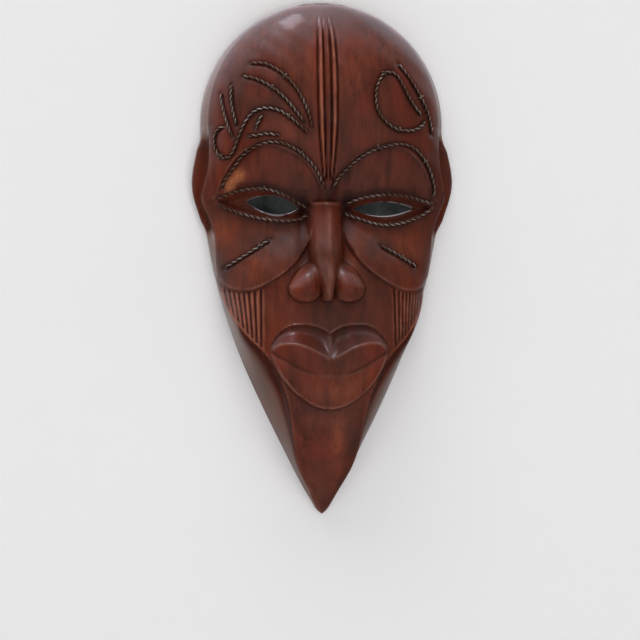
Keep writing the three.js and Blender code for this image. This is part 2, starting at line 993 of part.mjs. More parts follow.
function screwGeometry() {
  const head = [
    new THREE.Vector2(SCREW.headRadius, 0),
    new THREE.Vector2(SCREW.headRadius, SCREW.headHeight * 0.45),
    new THREE.Vector2(SCREW.headRadius * 0.72, SCREW.headHeight * 0.85),
    new THREE.Vector2(0, SCREW.headHeight),
  ];
  return new THREE.LatheGeometry([...screwProfile(0), ...head], 14);
}

const PLATE_BACK = NICHE.depth - GAP - PLATE.thickness; // depth of the plate's outer face
const seatScrew = (geometry, lift) =>
  geometry.translate(0, -PLATE_BACK + lift, SCREW.v - HANG_V);

function screwHole() {
  const bore = new THREE.LatheGeometry(
    [...screwProfile(GAP), new THREE.Vector2(SCREW.shankRadius + GAP, 2), new THREE.Vector2(0, 2)],
    10,
  );
  return seatScrew(bore, 0);
}

// The D ring, bent from one wire whose ends meet inside the barrel.
const RING = { halfWidth: 7, straight: 5.5, corner: 1.6, butt: 0.25 };

function ringGeometry() {
  const { halfWidth: w, straight, corner, butt } = RING;
  const points = [
    [butt, 0],
    [w - corner, 0],
    [w - 0.25 * corner, 0.25 * corner],
    [w, corner],
    [w, straight],
  ];
  const bow = 8;
  for (let i = 1; i < bow; i++) {
    const turn = (Math.PI * i) / bow;
    points.push([w * Math.cos(turn), straight + w * Math.sin(turn)]);
  }
  const mirrored = points.slice(0, 5).map(([x, up]) => [-x, up]);
  const loop = [...points, ...mirrored.reverse()].map(([x, up]) => new THREE.Vector3(x, 0, up));
  const ring = tube(loop, RING_RADIUS, 8, 44);
  return ring
    .rotateX(RING_LEAN)
    .translate(0, -PIVOT.depth, PIVOT.v - HANG_V);
}

// ---------------------------------------------------------------- assembly

function piece(name, geometry, look) {
  const mesh = new THREE.Mesh(geometry, new THREE.MeshStandardMaterial(look));
  mesh.name = name;
  return mesh;
}

function carvedBody() {
  const cuts = [
    ...EYE_SLITS.map(eyeSlit),
    nicheCut(),
    screwHole(),
    ...[...wirePaths.values()].flatMap(wireBeds),
    ...STAPLES.flatMap(stapleHoles),
  ];
  for (let i = 0; i < SCORE_COUNT.left; i++) cuts.push(scoreCut(-1, SCORE_PITCH.left, i));
  for (let i = 0; i < SCORE_COUNT.right; i++) cuts.push(scoreCut(1, SCORE_PITCH.right, i));
  let body = solidOf(bodySkin());
  for (const cut of cuts) body = body.subtract(solidOf(cut));
  return geometryOf(body);
}

function strapWithHole() {
  return geometryOf(solidOf(strapGeometry()).subtract(solidOf(screwHole())));
}

const mask = new THREE.Group();
mask.add(piece("mask_body", carvedBody(), WOOD));

for (const [name, path] of wirePaths)
  mask.add(piece(name, tube(path, WIRE_RADIUS, WIRE_SIDES, path.length - 1), BRONZE));

STAPLES.forEach((staple, i) => {
  const number = String(i + 1).padStart(2, "0");
  const geometry = tube(staplePoints(staple), STAPLE_RADIUS, 5, 9);
  mask.add(piece(`wire_staple_${number}`, geometry, BRONZE));
});

mask.add(piece("hanger_strap", strapWithHole(), STEEL));
mask.add(piece("hanger_screw", seatScrew(screwGeometry(), GAP), STEEL));
mask.add(piece("hanger_ring", ringGeometry(), STEEL));

export default mask;
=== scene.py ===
"""The looks of a carved wooden wall mask inlaid with twisted wire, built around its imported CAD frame.

The carving is a height field. Every feature is a function of x, the distance from the middle, and v, the height above
the beard's tip, and gives a depth in front of the flat back. Carving sizes are in millimetres of a 295 mm mask; the
frame sets the real scale.
"""

import math

import bmesh
import bpy
import numpy as np
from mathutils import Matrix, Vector


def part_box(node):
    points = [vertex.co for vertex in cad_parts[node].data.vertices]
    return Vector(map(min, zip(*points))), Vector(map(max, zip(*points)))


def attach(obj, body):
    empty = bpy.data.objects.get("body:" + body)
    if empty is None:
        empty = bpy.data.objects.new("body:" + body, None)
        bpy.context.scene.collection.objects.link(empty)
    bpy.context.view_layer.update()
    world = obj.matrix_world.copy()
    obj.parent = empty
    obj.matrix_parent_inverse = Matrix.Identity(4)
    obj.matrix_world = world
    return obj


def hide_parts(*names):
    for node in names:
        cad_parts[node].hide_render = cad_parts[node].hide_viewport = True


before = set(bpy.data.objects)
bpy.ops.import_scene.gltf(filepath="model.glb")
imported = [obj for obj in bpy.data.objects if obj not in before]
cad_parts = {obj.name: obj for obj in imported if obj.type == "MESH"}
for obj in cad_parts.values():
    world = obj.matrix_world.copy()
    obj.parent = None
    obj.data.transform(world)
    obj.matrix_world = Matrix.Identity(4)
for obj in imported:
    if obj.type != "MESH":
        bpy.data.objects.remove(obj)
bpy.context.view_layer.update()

# ---------------------------------------------------------------- driving dimensions

HEIGHT = 295
BODY_LOW, BODY_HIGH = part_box("mask_body")
UNIT = (BODY_HIGH[2] - BODY_LOW[2]) / HEIGHT  # metres in one millimetre of the carving
TIP_Z = BODY_LOW[2]

DOME_V, DOME_HALF_WIDTH = 225, 70
CROWN_V, CROWN_DEPTH = 215, 40
RIM_WIDTH = 11
HOLLOW_MIDDLE, HOLLOW_HALF_LENGTH = 148, 104
STRAND_RADIUS = 0.46
TWIST_PITCH = 6.6
WIRE_SEAT = 0.35  # height of a wire's centreline over the wood: it lies half sunk in a scored groove


def smoothstep(low, high, value):
    s = np.clip((value - low) / (high - low), 0, 1)
    return s * s * (3 - 2 * s)


def mix(a, b, share):
    return a + (b - a) * share


def bell(distance, reach):
    return np.exp(-((distance / reach) ** 2))


def profile(*pairs):
    """A smooth curve through (position, value) pairs, level past both ends."""
    at, value = np.array(pairs, float).T
    slope = np.gradient(value)
    slope[1:-1] = (value[2:] - value[:-2]) / (at[2:] - at[:-2])
    slope[0] = (value[1] - value[0]) / (at[1] - at[0])
    slope[-1] = (value[-1] - value[-2]) / (at[-1] - at[-2])

    def curve(where):
        where = np.clip(where, at[0], at[-1])
        i = np.clip(np.searchsorted(at, where, side="right") - 1, 0, len(at) - 2)
        span = at[i + 1] - at[i]
        t = (where - at[i]) / span
        rest = 1 - t
        return (
            value[i] * rest * rest * (1 + 2 * t)
            + slope[i] * span * t * rest * rest
            + value[i + 1] * t * t * (3 - 2 * t)
            - slope[i + 1] * span * t * t * rest
        )

    return curve


def ellipse_share(distance, reach):
    return np.sqrt(np.clip(1 - (distance / reach) ** 2, 0, 1))


# ---------------------------------------------------------------- the blank: outline and depth

lower_outline = profile(
    (0, 0), (2, 2.7), (8.7, 6.8), (18, 12.2), (36.5, 21.6), (64.4, 35.2), (92.2, 47.4), (120, 57),
    (148, 64), (175, 68), (200, 69.7), (DOME_V, DOME_HALF_WIDTH),
)  # fmt: skip


def outline(v):
    dome = DOME_HALF_WIDTH * ellipse_share(np.maximum(v - DOME_V, 0), HEIGHT - DOME_V)
    return np.where(v > DOME_V, dome, lower_outline(v))


lower_depth = profile(
    (0, 2), (3, 6.5), (9, 12), (20, 22.5), (35, 33), (50, 40.5), (65, 45.5), (80, 49), (96, 50),
    (112, 48), (128, 44), (150, 39), (170, 37), (190, 38.6), (CROWN_V, CROWN_DEPTH),
)  # fmt: skip


def middle_depth(v):
    crown = CROWN_DEPTH * ellipse_share(np.maximum(v - CROWN_V, 0), HEIGHT - CROWN_V)
    return np.where(v > CROWN_V, crown, lower_depth(v))


face_widening = profile(
    (0, 1.05), (20, 1.15), (40, 1.2), (64, 1.24), (89, 1.3), (97, 1.27), (112, 1.12), (122, 1.04), (129, 1)
)
lower_shoulder = profile(
    (0, 0), (4, 3.1), (9, 5.6), (16, 8.6), (22, 11.8), (29, 15), (36, 17.1), (44, 18.5), (53, 19.8), (62, 21.3),
    (70, 22.9), (77, 25.3), (84, 28.4), (90.8, 32), (97, 37), (101, 41.3), (106, 46), (112, 50.6), (118, 54.4),
    (124, 57.2), (134, 60.2),
)  # fmt: skip
temple_share = profile((134, 0.99), (150, 0.958), (162, 0.938), (215, 0.938))
tragus = profile((156, 0), (163, 0.5), (172, 2.6), (179, 4.9), (183, 5.4), (188, 4.2), (196, 1.6), (202, 0.4), (207, 0))


ear_bulge = profile(
    (152, 0), (162, 0.9), (172, 3.0), (182, 5.2), (190, 5.9), (198, 5.0), (207, 3.0), (215, 1.3), (223, 0)
)


def shoulder(v):
    """Half-width at which the face ends and the flank begins."""
    temple = temple_share(v) * outline(v) + tragus(v)
    return np.where(v < 134, lower_shoulder(v), temple)


# ---------------------------------------------------------------- brow, eyes and cheeks

brow_arc = profile(
    (0, 184), (1.5, 184.4), (3, 186), (8, 196), (13, 202.2), (20, 207), (31, 211), (39, 210.8), (47, 207.6),
    (54, 200.6), (58.5, 192.5), (61.5, 184), (64, 181), (68, 180.5),
)  # fmt: skip

# Each eye's almond between its two wires, and the slit cut through it.
LEFT_EYE = {
    "upper": profile((-70, 180.2), (-65, 180.4), (-61, 181.4), (-52, 185), (-42, 187), (-33, 186.6), (-24, 183.4),
                     (-15.5, 178.6), (-11, 175.8), (-7, 174.5), (-3, 174.2), (0, 174.2)),
    "lower": profile((-70, 179.4), (-65, 179.2), (-61, 178.4), (-54, 175.2), (-48, 172.9), (-40, 170.6),
                     (-33, 169.2), (-24, 168.4), (-16, 169.4), (-11, 172), (-7, 173.4), (-3, 173.8), (0, 173.8)),
    "slit": {"x": -29.9, "v": 178.2, "half_length": 15, "half_height": 5.0, "tilt": -0.13},
}  # fmt: skip
RIGHT_EYE = {
    "upper": profile((0, 176.4), (3, 176.4), (6.5, 176.6), (10, 177.6), (15, 180.5), (22, 182.5), (34, 184),
                     (46.5, 183), (56, 180.6), (61.5, 178.8), (65, 178.4), (70, 178.4)),
    "lower": profile((0, 175.8), (3, 175.8), (6.5, 175.4), (10, 174), (16.5, 170.3), (26.5, 167.2), (35.5, 166.4),
                     (44.5, 168.2), (53, 171.4), (61.5, 176.4), (65, 177.8), (70, 177.8)),
    "slit": {"x": 33.4, "v": 176.2, "half_length": 18.4, "half_height": 3.9, "tilt": 0.01},
}  # fmt: skip


def eye_lines(x):
    upper = np.where(x < 0, LEFT_EYE["upper"](x), RIGHT_EYE["upper"](x))
    lower = np.where(x < 0, LEFT_EYE["lower"](x), RIGHT_EYE["lower"](x))
    return upper, lower


def eye_relief(x, v):
    away = np.abs(x)
    upper, lower = eye_lines(x)
    arc = brow_arc(away)
    down = np.clip((arc - v) / np.maximum(arc - upper, 3), 0, 1)
    step = 1.7 * smoothstep(0, 1.6, arc - v) * smoothstep(1, 6, away)
    below = 1 - smoothstep(-2, 24, lower - v)
    outer = 1 - 0.75 * smoothstep(50, 64, away)
    socket = -(step + 3.6 * smoothstep(0, 1.1, down)) * below * outer
    inside = np.minimum(np.minimum(upper - v, v - lower), np.minimum(away - 9, 62 - away))
    rim = 1.3 * bell(inside, 1.9) * smoothstep(9, 15, away)
    bevel = -3.8 * smoothstep(0.2, 4.6, inside)
    return socket + rim + bevel


cheek_edge = profile(
    (8, 168), (10.4, 158), (16.5, 147.8), (22.8, 141.2), (31, 135.5), (38, 131.8), (45, 129.8), (52, 130.3),
    (57, 133), (63, 140),
)  # fmt: skip


def above_cheek_edge(x, v):
    away = np.abs(x)
    steepness = np.hypot(1, cheek_edge(away + 0.5) - cheek_edge(away - 0.5))
    return (v - cheek_edge(away)) / steepness


def cheek_rise(x, v):
    away = np.abs(x)
    fade = (1 - smoothstep(2, 28, v - cheek_edge(away))) * (1 - smoothstep(156, 174, v))
    return 3.0 * smoothstep(-0.5, 0.5, above_cheek_edge(x, v)) * fade * smoothstep(7, 12, away)


# Scored lines down the muzzle's sides, leaning in towards the chin and closing up towards the edge.
SCORE_FIRST, SCORE_CLOSING = 37.4, 0.016
SCORE_PITCH = {-1: 3.55, 1: 3.0}
SCORE_COUNT = {-1: 9, 1: 9}


def score_lines(x, v):
    away = np.abs(x)
    out = 38 - SCORE_FIRST + (away - 38) / (1 - 0.0095 * np.clip(130 - v, 0, 40))
    pitch = np.where(x < 0, SCORE_PITCH[-1], SCORE_PITCH[1])
    last = np.where(x < 0, SCORE_COUNT[-1], SCORE_COUNT[1])
    number = out / pitch * (1 + SCORE_CLOSING * out)
    off = np.abs(number - np.round(number)) * pitch / (1 + 2 * SCORE_CLOSING * out)
    counted = (number > -0.5) & (number < last - 0.5)
    cut = np.clip(1 - off / 0.9, 0, 1) ** 0.8
    under_cheek = smoothstep(0.4, 2.2, -above_cheek_edge(x, v))
    over_jaw = smoothstep(0.1, 1.6, shoulder(v) - away)
    return cut * counted * under_cheek * over_jaw * (v > 88) * (v < 140)


# ---------------------------------------------------------------- forehead ribs

rib_spread = profile((178, 0.28), (187, 0.34), (200, 0.64), (225, 1), (262, 1.0), (290, 0.7))
rib_section = profile(
    (0, -0.5), (0.5, 0.1), (1.2, 0.1), (2.0, -1.3), (2.8, 0.9), (3.6, 1.1), (4.4, 0.9), (5.2, -1.1), (6.0, -0.35),
    (6.9, -0.04), (8.0, 0),
)  # fmt: skip


def rib_rise(x, v):
    strength = smoothstep(184, 191, v) * (1 - smoothstep(268, 286, v))
    return rib_section(np.abs(x) / rib_spread(v)) * strength


# ---------------------------------------------------------------- nose

NOSE_X = -1.2
NOSE_ROOT_V, NOSE_TIP_V = 179, 124
nose_height = profile(
    (NOSE_TIP_V - 1, 0), (NOSE_TIP_V + 0.6, 8), (NOSE_TIP_V + 4, 15), (NOSE_TIP_V + 9, 16.5), (142, 14.8),
    (150, 12.6), (164, 9.4), (NOSE_ROOT_V - 2, 6.9), (NOSE_ROOT_V - 0.4, 6.4), (NOSE_ROOT_V + 1, 0),
)  # fmt: skip
nose_half_width = profile((NOSE_TIP_V, 1.9), (130, 2.9), (137, 5.4), (150, 7.8), (164, 8.0), (NOSE_ROOT_V, 7.8))
WING_AWAY, WING_V, WING_HALF_WIDTH, WING_HALF_HEIGHT, WING_HEIGHT = 12.0, 132.0, 9.6, 8.6, 11.6
WING_RISE = 14  # how far up the wing fades into the bridge


def smooth_max(a, b, reach):
    return 0.5 * (a + b + np.sqrt((a - b) ** 2 + reach**2) - reach)


def nose_rise(x, v):
    side = np.abs(x - NOSE_X)
    reach = nose_half_width(v) + 1.8
    section = np.clip(1 - (side / reach) ** mix(1.7, 2.1, smoothstep(140, 170, v)), 0, 1) ** 0.85
    bridge = nose_height(v) * section
    above = v - WING_V
    centre = WING_AWAY - 0.30 * np.clip(above, 0, WING_RISE)
    across = (side - centre) / WING_HALF_WIDTH
    along = above / np.where(above > 0, WING_RISE, WING_HALF_HEIGHT)
    body = np.clip(1 - np.abs(across) ** 2.1 - np.abs(along) ** np.where(above > 0, 1.6, 2.2), 0, 1)
    wing = WING_HEIGHT * body**0.58
    return smooth_max(bridge, wing, 1.6)


def nose_groove(x, v):
    side = np.abs(x - NOSE_X) - nose_half_width(v)
    return -2.6 * bell(side - 4.4, 3.6) * smoothstep(138, 150, v) * (1 - smoothstep(174, 184, v))


# ---------------------------------------------------------------- mouth

LIP_REACH = 32.5
lip_top = profile((0, 107), (3, 108.8), (8, 110.8), (15, 111.6), (22, 110.8), (27.5, 107.6), (LIP_REACH, 101))
lip_ridge = profile((0, 92.4), (3, 93.8), (8, 96.6), (14, 99.4), (21, 101), (28, 100.2), (LIP_REACH, 97))
mouth_line = profile((0, 82.8), (8, 83.4), (15, 85.6), (22.5, 89.4), (LIP_REACH, 95.4))
lip_bottom = profile((0, 64.5), (6, 65.3), (12.5, 68.5), (19.5, 73.8), (25, 80), (29, 86.5), (LIP_REACH, 94))


def lip_rise(x, v):
    away = np.abs(x)
    taper = np.sqrt(np.clip(1 - (away / LIP_REACH) ** 2.6, 0, 1))
    top, ridge, line, bottom = lip_top(away), lip_ridge(away), mouth_line(away), lip_bottom(away)
    scoop_down = np.clip((top - v) / (top - ridge), 0, 1)
    philtrum = bell(x, 2.4)
    scoop = 8.6 * scoop_down**2.3 - 3.6 * np.sin(math.pi * scoop_down) * (1 - scoop_down) * (1 - philtrum)
    scoop = scoop + 1.5 * philtrum * np.sin(math.pi * scoop_down) + 1.1 * (1 - smoothstep(0, 0.13, scoop_down))
    front_down = np.clip((ridge - v) / (ridge - line), 0, 1)
    front = mix(8.6, 5.3, front_down**1.3)
    lower_down = np.clip((line - v) / (line - bottom), 0, 1)
    lower = 3.3 + 5.0 * np.sin(math.pi * np.minimum(1, lower_down * 0.6 + 0.1))
    over_line = smoothstep(-0.45, 0.3, v - line)
    rise = np.where(v > ridge, scoop, mix(lower, front, over_line))
    shown = smoothstep(0.5, -0.3, v - top) * smoothstep(-0.9, 0.5, v - bottom)
    return rise * taper * shown


# ---------------------------------------------------------------- the whole front


def hand_waver(x, v):
    """The small unevenness of hand carving."""
    return 0.16 * np.sin(x * 0.31 + v * 0.12) * np.sin(v * 0.23 - x * 0.07) + 0.10 * np.sin(v * 0.51 + x * 0.4)


def blank_depth(x, v):
    half = outline(v) * face_widening(v) + 1.25 * ear_bulge(v)
    return middle_depth(v) * np.clip(1 - np.abs(x / np.maximum(half, 0.01)) ** 3, 0, 1) ** 0.6


def face_depth(x, v):
    blank = blank_depth(x, v)
    carving = eye_relief(x, v) + rib_rise(x, v) + cheek_rise(x, v)
    middle = nose_rise(x, v) + nose_groove(x, v) + lip_rise(x, v)
    return blank + (carving + middle) * smoothstep(0, 6, blank) - 1.5 * score_lines(x, v)


def surface(x, v, lift=0.0):
    """Points on the front in metres, lifted off it by lift millimetres."""
    step = 1.2
    depth = face_depth(x, v)
    slope_x = (face_depth(x + step, v) - face_depth(x - step, v)) / (2 * step)
    slope_v = (face_depth(x, v + step) - face_depth(x, v - step)) / (2 * step)
    normal = np.stack([-slope_x, -np.ones_like(depth), -slope_v], axis=-1)
    normal = normal / np.linalg.norm(normal, axis=-1, keepdims=True)
    point = np.stack([x, -depth, v], axis=-1) + normal * np.asarray(lift)[..., None]
    return point * UNIT + np.array([0, 0, TIP_Z]), normal


# ---------------------------------------------------------------- ears, flanks and the hollow

beard_step = profile((8, 0), (22, 3), (40, 7), (60, 9.5), (78, 9), (88, 6), (98, 2), (108, 0))
flank_belly = profile((10, 1.25), (40, 1.35), (70, 1.8), (95, 2.6), (112, 2.4))  # how fully the flank swells
jaw_share = profile((114, 1), (132, 0))
# An ear's section from the temple's edge, over the scoop's floor and the ear's rim, to the back.
ear_across = profile((0, 0), (0.12, -0.35), (0.3, -0.42), (0.5, 0.1), (0.72, 0.86), (0.86, 1), (1, 0.9))
ear_forward = profile((0, 1), (0.12, 0.66), (0.3, 0.40), (0.5, 0.36), (0.72, 0.44), (0.84, 0.36), (0.93, 0.18), (1, 0))


def flank(v, share):
    """Half-width and depth from the shoulder (share 0) back to the rim (share 1)."""
    half = outline(v)
    ear = ear_bulge(v)
    start = np.minimum(shoulder(v), half + ear)
    depth = mix(blank_depth(start, v), face_depth(start, v), smoothstep(108, 122, v))
    turn = share * math.pi / 2
    jaw_out = np.sin(turn)
    jaw_depth = (depth - beard_step(v) * smoothstep(0, 0.14, share)) * (1 - jaw_out ** flank_belly(v))
    straight = jaw_share(v)
    round_x = start + (half - start) * np.sin(turn)
    round_depth = depth * (1 - share) * mix(1, np.cos(turn), 0.2)
    scooped = smoothstep(0.1, 2.6, ear)
    ear_x = start + (half + ear - start) * ear_across(share)
    x = mix(mix(round_x, ear_x, scooped), start + (half - start) * jaw_out, straight)
    side_depth = mix(round_depth, depth * ear_forward(share), scooped)
    return x, mix(side_depth, jaw_depth, straight)


hollow_depth = profile(
    (50, 18), (65, 25), (85, 30), (105, 31), (125, 28), (150, 23), (178, 19.5), (210, 22), (235, 21), (250, 16)
)


def hollow_end(v):
    return np.clip(1 - np.abs((v - HOLLOW_MIDDLE) / HOLLOW_HALF_LENGTH) ** 6, 0, 1) ** (1 / 3)


def hollow(v, share):
    end = hollow_end(v)
    half = np.where(end > 0, (outline(v) - RIM_WIDTH) * end, outline(v) * 0.2)
    x = half * share
    bowl = hollow_depth(v) * end * np.sqrt(np.clip(1 - np.abs(share) ** 3, 0, 1))
    # Gouge cuts run lengthways in staggered rows.
    lane = x / 6.5 + 0.4 * np.sin(v * 0.09)
    row = v / 17 + 0.5 * np.floor(lane)
    gouge = np.abs(np.sin(math.pi * lane)) * 0.55 + np.abs(np.sin(math.pi * row)) * 0.35
    return x, np.maximum(bowl - gouge * smoothstep(1, 6, bowl), 0)


# ---------------------------------------------------------------- meshes


def placed(name, data):
    """A new object of the given data, in the scene."""
    made = bpy.data.objects.new(name, data)
    bpy.context.scene.collection.objects.link(made)
    return made


def mesh_object(name, points, faces, smooth=True):
    mesh = bpy.data.meshes.new(name)
    mesh.from_pydata([tuple(p) for p in points], [], faces)
    mesh.validate()
    bm = bmesh.new()
    bm.from_mesh(mesh)
    bmesh.ops.recalc_face_normals(bm, faces=bm.faces)
    bm.to_mesh(mesh)
    bm.free()
    for polygon in mesh.polygons:
        polygon.use_smooth = smooth
    return placed(name, mesh)


def apply_modifiers(target):
    graph = bpy.context.evaluated_depsgraph_get()
    done = bpy.data.meshes.new_from_object(target.evaluated_get(graph))
    target.modifiers.clear()
    target.data = done


def cut(target, cutter):
    modifier = target.modifiers.new("cut", "BOOLEAN")
    modifier.operation = "DIFFERENCE"
    modifier.solver = "MANIFOLD"
    modifier.object = cutter
    apply_modifiers(target)
    bpy.data.objects.remove(cutter)


def to_metres(points):
    """Points (x, minus the depth, v) in millimetres, placed in the frame."""
    return np.asarray(points, float) * UNIT + np.array([0, 0, TIP_Z])


def body_between(name, first, second):
    """A closed body between two outlines of (x, minus the depth, v) points, joined point to point."""
    count = len(first)
    faces = [tuple(range(count)), tuple(range(2 * count - 1, count - 1, -1))]
    for i in range(count):
        j = (i + 1) % count
        faces.append((i, i + count, j + count, j))
    return mesh_object(name, to_metres([*first, *second]), faces, smooth=False)


def prism(name, front, front_depth, back_depth, back=None):
    """A closed prism, or a flare when the back outline differs, of (x, v) points drawn out between two depths."""
    ends = ((front_depth, front), (back_depth, back or front))
    return body_between(name, *([(x, -depth, v) for x, v in ring] for depth, ring in ends))


def sweep(name, path, radius, sides):
    """A closed round tube along a path of points, with flat ends."""
    path = np.asarray(path, float)
    radius = np.broadcast_to(radius, len(path)).copy()
    tangent = np.gradient(path, axis=0)
    tangent /= np.linalg.norm(tangent, axis=1, keepdims=True)
    start = np.cross(tangent[0], (0.3, 0.9, 0.2))
    across = np.empty_like(path)
    across[0] = start / np.linalg.norm(start)
    for i in range(1, len(path)):
        carried = across[i - 1] - tangent[i] * np.dot(across[i - 1], tangent[i])
        across[i] = carried / np.linalg.norm(carried)
    other = np.cross(tangent, across)
    turn = np.arange(sides) * 2 * math.pi / sides
    ring = (
        path[:, None, :]
        + radius[:, None, None] * (np.cos(turn)[None, :, None] * across[:, None, :])
        + radius[:, None, None] * (np.sin(turn)[None, :, None] * other[:, None, :])
    )
    points = ring.reshape(-1, 3)
    faces = [tuple(range(sides)), tuple(len(points) - 1 - k for k in range(sides))]
    for i in range(len(path) - 1):
        for k in range(sides):
            a, b = i * sides + k, i * sides + (k + 1) % sides
            faces.append((a, b, b + sides, a + sides))
    return mesh_object(name, points, faces)


def finish_piece(piece, node, material, body="mask"):
    piece.data.materials.clear()
    piece.data.materials.append(material)
    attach(piece, body)
    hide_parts(node)


# ---------------------------------------------------------------- wires: the routes of the CAD model

WIRES = {
    "brow_wire_left": [(-58.8, 186.5), (-57, 191.5), (-52.2, 198.3), (-46.2, 206.1), (-39, 210.8), (-30.9, 212.4),
                       (-22.9, 210.8), (-15.7, 206.6), (-8.4, 199.5), (-4.7, 193), (-2.9, 188.2)],
    "brow_wire_right": [(2.9, 187.2), (4.6, 191.2), (7.3, 195), (12.5, 200.3), (21, 206.6), (29.6, 210), (38.5, 211.8),
                        (47.4, 210.4), (54, 205), (58.6, 197.5), (61.2, 189.5), (61.8, 183)],
    "eye_wire_upper_left": [(-60.8, 181.6), (-52, 185), (-42, 187), (-33, 186.6), (-24, 183.4), (-15.5, 178.6),
                            (-11.5, 176.6)],
    "eye_wire_lower_left": [(-60.2, 177.8), (-54, 175.2), (-48, 172.9), (-40, 170.6), (-33, 169.2), (-24, 168.4),
                            (-16, 169.4), (-11.2, 171.8)],
    "eye_wire_upper_right": [(10.6, 178.4), (15, 180.5), (22, 182.5), (34, 184), (46.5, 183), (56, 180.6),
                             (61.4, 179.2)],
    "eye_wire_lower_right": [(10.4, 173.2), (16.5, 170.3), (26.5, 167.2), (35.5, 166.4), (44.5, 168.2),
                             (53, 171.4), (60, 175.6)],
    "cheek_wire_left": [(-57, 142), (-50, 146.6), (-41, 152.4), (-32, 158.2)],
    "cheek_wire_right": [(29.5, 155), (36, 151.6), (44, 147.2), (51.5, 143)],
    "scroll_wire": [(-57, 221.8), (-60.8, 219.8), (-62.4, 215), (-61.8, 209), (-58.6, 204.6), (-54.8, 204.2),
                    (-52, 208), (-50, 213.5), (-47.6, 219.5), (-44.6, 225.4), (-40.5, 229.6), (-34.5, 231.2),
                    (-27.4, 229.8), (-20, 225), (-11.5, 217.4)],
    "ray_wire_outer": [(-52.9, 215.6), (-54.6, 221), (-56.6, 228), (-58.2, 235), (-58.8, 241)],
    "ray_wire_inner": [(-50.2, 221.8), (-51.2, 226), (-52.4, 231), (-53.2, 237), (-53, 245)],
    "stem_wire": [(-36.6, 227.4), (-38.6, 223.4), (-40.4, 219.4)],
    "bar_wire": [(-44.6, 215.8), (-40, 216), (-34.4, 216.9), (-27.4, 216)],
    "leaf_wire_lower": [(-13.2, 222.8), (-17.6, 228.8), (-23, 235.6), (-31, 242.8), (-40, 247.8), (-47, 249.6)],
    "leaf_wire_upper": [(-9.2, 220.6), (-11.6, 230), (-17, 241), (-25, 250.4), (-34, 256), (-43, 257)],
    "loop_wire": [(56.6, 225.4), (51, 220.9), (45, 219.4), (38, 220.4), (32.6, 223.8), (28.8, 228.4), (26.8, 235),
                  (27.6, 244), (32.6, 251.6), (38.6, 251), (43, 244.6), (46.6, 237.6), (51, 231.6), (54.2, 228.6)],
    "tail_wire": [(60.8, 218), (59.6, 225), (57.2, 232), (52.6, 240.6), (46.8, 249.6), (40.6, 257.4)],
}  # fmt: skip

# Each staple sits across the named wire, at a share of its length.
STAPLES = [
    ("brow_wire_left", 0.72), ("brow_wire_left", 0.32), ("brow_wire_right", 0.4), ("brow_wire_right", 0.76),
    ("eye_wire_upper_left", 0.5), ("eye_wire_lower_left", 0.55), ("eye_wire_upper_right", 0.47),
    ("eye_wire_lower_right", 0.5), ("cheek_wire_left", 0.78), ("cheek_wire_right", 0.55), ("scroll_wire", 0.24),
    ("scroll_wire", 0.84), ("loop_wire", 0.2), ("loop_wire", 0.62), ("leaf_wire_lower", 0.6),
    ("leaf_wire_upper", 0.6), ("tail_wire", 0.5),
]  # fmt: skip


def smooth_route(pairs, spacing):
    """Points every spacing millimetres along a smooth curve through the pairs."""
    pairs = np.array(pairs, float)
    knots = np.concatenate([[0], np.cumsum(np.sqrt(np.linalg.norm(np.diff(pairs, axis=0), axis=1)))])
    fine = np.linspace(0, knots[-1], 40 * len(pairs))
    x, v = (profile(*zip(knots, pairs[:, k]))(fine) for k in (0, 1))
    length = np.concatenate([[0], np.cumsum(np.hypot(np.diff(x), np.diff(v)))])
    even = np.linspace(0, length[-1], max(4, round(length[-1] / spacing) + 1))
    return np.stack([np.interp(even, length, x), np.interp(even, length, v)], axis=-1)


ROUTES = {name: smooth_route(pairs, 0.4) for name, pairs in WIRES.items()}
ROUTE_POINTS = np.concatenate([route[::2] for route in ROUTES.values()])


def distance_to_wires(x, v):
    """Distance in millimetres to the nearest wire, and 20 where there is none near."""
    flat = np.stack([np.ravel(x), np.ravel(v)], axis=-1)
    nearest = np.full(len(flat), 20.0)
    for start in range(0, len(flat), 4000):
        part = flat[start : start + 4000]
        low, high = part.min(axis=0) - 4, part.max(axis=0) + 4
        near = ROUTE_POINTS[np.all((ROUTE_POINTS > low) & (ROUTE_POINTS < high), axis=1)]
        if len(near):
            gap = np.linalg.norm(part[:, None, :] - near[None, :, :], axis=-1).min(axis=1)
            nearest[start : start + 4000] = np.minimum(gap, 20)
    return nearest.reshape(np.shape(x))


# ---------------------------------------------------------------- the carving's mesh

FACE_COLUMNS, FLANK_COLUMNS, RIM_COLUMNS, HOLLOW_COLUMNS = 200, 18, 3, 38


def carving_rows():
    edges = [(0.5, 10, 0.9), (10, 58, 1.0), (58, 240, 0.74), (240, 285, 1.3), (285, 294.6, 0.8)]
    rows = [np.linspace(a, b, round((b - a) / step), endpoint=False) for a, b, step in edges]
    return np.concatenate([*rows, [294.8]])


